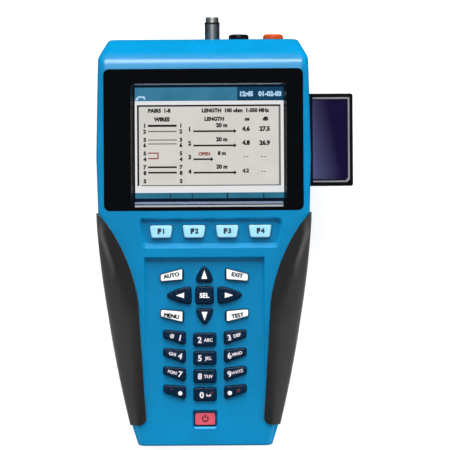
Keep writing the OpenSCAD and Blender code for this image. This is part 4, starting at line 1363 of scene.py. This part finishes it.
@dataclass
class Studio:
    """Pale floor, soft light from the connector end and the camera of the photograph."""

    distance: float = 1.4
    field_mm: float = 207.0
    front: float = 44.0
    look_at: Point = (9.66, 7.6)
    roll: float = -0.36
    sensor: float = 36.0
    sight: float = 60.0
    floor_half: float = 20000.0
    floor_z: float = -0.9
    floor_rise: float = 0.6
    unlit: tuple[str, ...] = ("display_bezel", "display_window")
    nadir: Rgba = (0.02, 0.02, 0.02, 1)
    zenith: Rgba = (0.03, 0.03, 0.033, 1)
    zenith_start: float = 0.98
    sky_levels: tuple[Point, ...] = ((0.3, 0.04), (0.45, 0.1), (0.88, 0.1))
    sky_blue: float = 1.03
    lights: tuple[Softbox, ...] = (
        Softbox("key_light", 102.0, (62, 0), 2.0, (1.78, 2.3)),
        Softbox("shine_light", 18.0, (47, 0), 2.0, (0.5, 1.0), Reach.SHINE),
        Softbox("glow_light", 5.6, (23, 0), 2.0, (0.78, 1.0), Reach.SHINE),
        Softbox("fill_light", 0.4, (72, 180), 0.5, (0.4, 0.5)),
        Softbox("left_light", 8.5, (80, -90), 1.2, (0.4, 1.4)),
        Softbox("right_light", 11.5, (80, 90), 1.2, (0.4, 1.4)),
        Softbox("dome_light", 5.6, (0, 0), 2.0, (2.0, 2.0)),
        Softbox("low_left_light", 0.08, (58, -90), 0.17, (0.06, 0.1), centre_y=-0.125),
        Softbox("low_right_light", 0.11, (58, 90), 0.17, (0.06, 0.1), centre_y=-0.125))

    def build(self) -> None:
        """Builds floor, lights and camera."""
        self.floor()
        for light in self.lights:
            self.hang(light)
        self.sky()
        self.camera()

    def floor(self) -> None:
        """Lays the pale floor, which adds nothing to reflections and soft shading."""
        half = self.floor_half
        shape = Shape().bar((-half, -half, half, half), self.floor_z, self.floor_rise)
        obj = shape.build("floor", Paint.FLOOR)
        obj.visible_glossy = False
        obj.visible_diffuse = False

    def hang(self, light: Softbox) -> None:
        """Adds a light to the scene.

        Args:
            light: The light.
        """
        data = bpy.data.lights.new(light.name, "AREA")
        data.shape = "RECTANGLE"
        data.energy = light.watts
        data.size_y, data.size = light.size
        obj = bpy.data.objects.new(light.name, data)
        t, a = (math.radians(angle) for angle in light.aim)
        way = Vector((math.sin(a) * math.sin(t), math.cos(a) * math.sin(t), math.cos(t)))
        obj.location = way * light.away + Vector((0, light.centre_y, 0))
        obj.rotation_mode = "QUATERNION"
        obj.rotation_quaternion = (-way).to_track_quat("-Z", "Y")
        shines = light.reach is Reach.SHINE
        obj.visible_camera = False
        obj.visible_glossy = shines
        obj.visible_transmission = shines
        obj.visible_diffuse = not shines
        if shines:
            obj.light_linking.receiver_collection = self.shaded()
        bpy.context.scene.collection.objects.link(obj)

    def shaded(self) -> bpy.types.Collection:
        """Collection that keeps the shine off the display, as the photograph shows none there.

        Returns:
            The collection.
        """
        name = "no_shine"
        if name in bpy.data.collections:
            return bpy.data.collections[name]
        group = bpy.data.collections.new(name)
        for node in self.unlit:
            group.objects.link(bpy.data.objects[node])
        for member in group.collection_objects:
            member.light_linking.link_state = "EXCLUDE"
        return group

    def sky(self) -> None:
        """Makes a soft surround that is darker overhead."""
        world = bpy.data.worlds.new("studio")
        bpy.context.scene.world = world
        world.use_nodes = True
        nodes, links = world.node_tree.nodes, world.node_tree.links
        nodes.clear()
        out = nodes.new("ShaderNodeOutputWorld")
        light = nodes.new("ShaderNodeBackground")
        ramp = nodes.new("ShaderNodeValToRGB")
        parts = nodes.new("ShaderNodeSeparateXYZ")
        place = nodes.new("ShaderNodeTexCoord")
        stops = ramp.color_ramp.elements
        stops[0].position = 0.0
        stops[0].color = self.nadir
        stops[1].position = self.zenith_start
        stops[1].color = self.zenith
        for position, level in self.sky_levels:
            stops.new(position).color = (level, level, level * self.sky_blue, 1)
        links.new(place.outputs["Generated"], parts.inputs["Vector"])
        links.new(parts.outputs["Z"], ramp.inputs["Fac"])
        links.new(ramp.outputs["Color"], light.inputs["Color"])
        links.new(light.outputs["Background"], out.inputs["Surface"])

    def camera(self) -> None:
        """Places the camera straight above the display side."""
        data = bpy.data.cameras.new("camera")
        data.sensor_width = self.sensor
        data.lens = self.sensor * self.distance / (self.field_mm * MM)
        data.clip_end = self.sight
        obj = bpy.data.objects.new("camera", data)
        x, y = self.look_at
        obj.location = (x * MM, y * MM, self.front * MM + self.distance)
        obj.rotation_euler = (0, 0, math.radians(self.roll))
        bpy.context.scene.collection.objects.link(obj)
        bpy.context.scene.camera = obj
        bpy.context.scene.view_settings.view_transform = "Standard"


def capped(node: str, colour: Rgb, cap: float, **limits: float) -> Surface:
    """Surface of a key with a cap of a colour and a depth, from inner or lowest on, on a dark base."""
    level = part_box(node)[1].z / MM - cap
    return Surface((node,), Capped(f"cap_{node}", colour, level=level, **limits))


NUMBER_KEYS = tuple(f"key_{n}" for n in (*range(1, 10), "star", 0, "hash"))
NAV_KEYS = tuple(f"nav_{way}" for way in ("up", "down", "left", "right", "select"))
SURFACES = (
    Surface(("front_shell", "rear_shell"), Paint.HOUSING, 0.18),
    Surface(("battery_cover",), Paint.HOUSING, 0.2),
    Surface(("grip_left", "grip_right"), Paint.GRIP, 0.25),
    Surface(("display_bezel",), Paint.BEZEL, 0.3),
    Surface(("display_window",), Paint.WINDOW),
    Surface(("lcd_module",), Paint.GLASS),
    Surface(("keypad_mat",), Paint.MAT),
    Surface(("main_board", "io_board"), Paint.BOARD),
    Surface(("card_socket", "network_jack", "buzzer"), Paint.BLACK, 0.1),
    Surface(("memory_card",), Paint.CARD, 0.15),
    Surface(("jack_contacts", "coax_contact"), Paint.GOLD),
    Surface(("coax_barrel",), Paint.BARREL, 0.08),
    Surface(("coax_nut", "socket_nuts"), Paint.NICKEL, 0.08),
    Surface(("coax_insulator",), Paint.WHITE),
    Surface(("socket_black",), Paint.JET, 0.15),
    Surface(("socket_red",), Paint.RED, 0.15),
    Surface(("socket_sleeves",), Paint.BRASS),
    Surface(("battery_cells",), Paint.CELL),
    Surface(("battery_contacts", "board_screws", "io_screws"), Paint.STEEL),
    Surface(("case_screws", "cover_screws"), Paint.DARK_STEEL, 0.1),
    Surface(("board_ribbon",), Paint.RIBBON),
    Surface(tuple(f"soft_key_{i}" for i in FOUR), Paint.KEY_PALE),
    *(capped(f"light_key_{i}", (240, 245, 247), 0.12, inner=10.25) for i in FOUR),
    Surface(NAV_KEYS + NUMBER_KEYS, Paint.KEY_BLACK),
    capped("power_key", (212, 82, 98), 0.15, lowest=-84.35))


def main() -> None:
    """Builds the scene in order."""
    logging.basicConfig(level=logging.INFO, format="%(message)s")
    picture = DisplayPicture()
    printed = (picture, DisplaySill(picture), KeyLegends(), PowerLip(), CardLabel())
    for part in (Studio(), *printed, CoaxSeal()):
        part.build()
        log.info("built %s", type(part).__name__)
    CadNodes(SURFACES).dress()


if __name__ == "__main__":
    main()
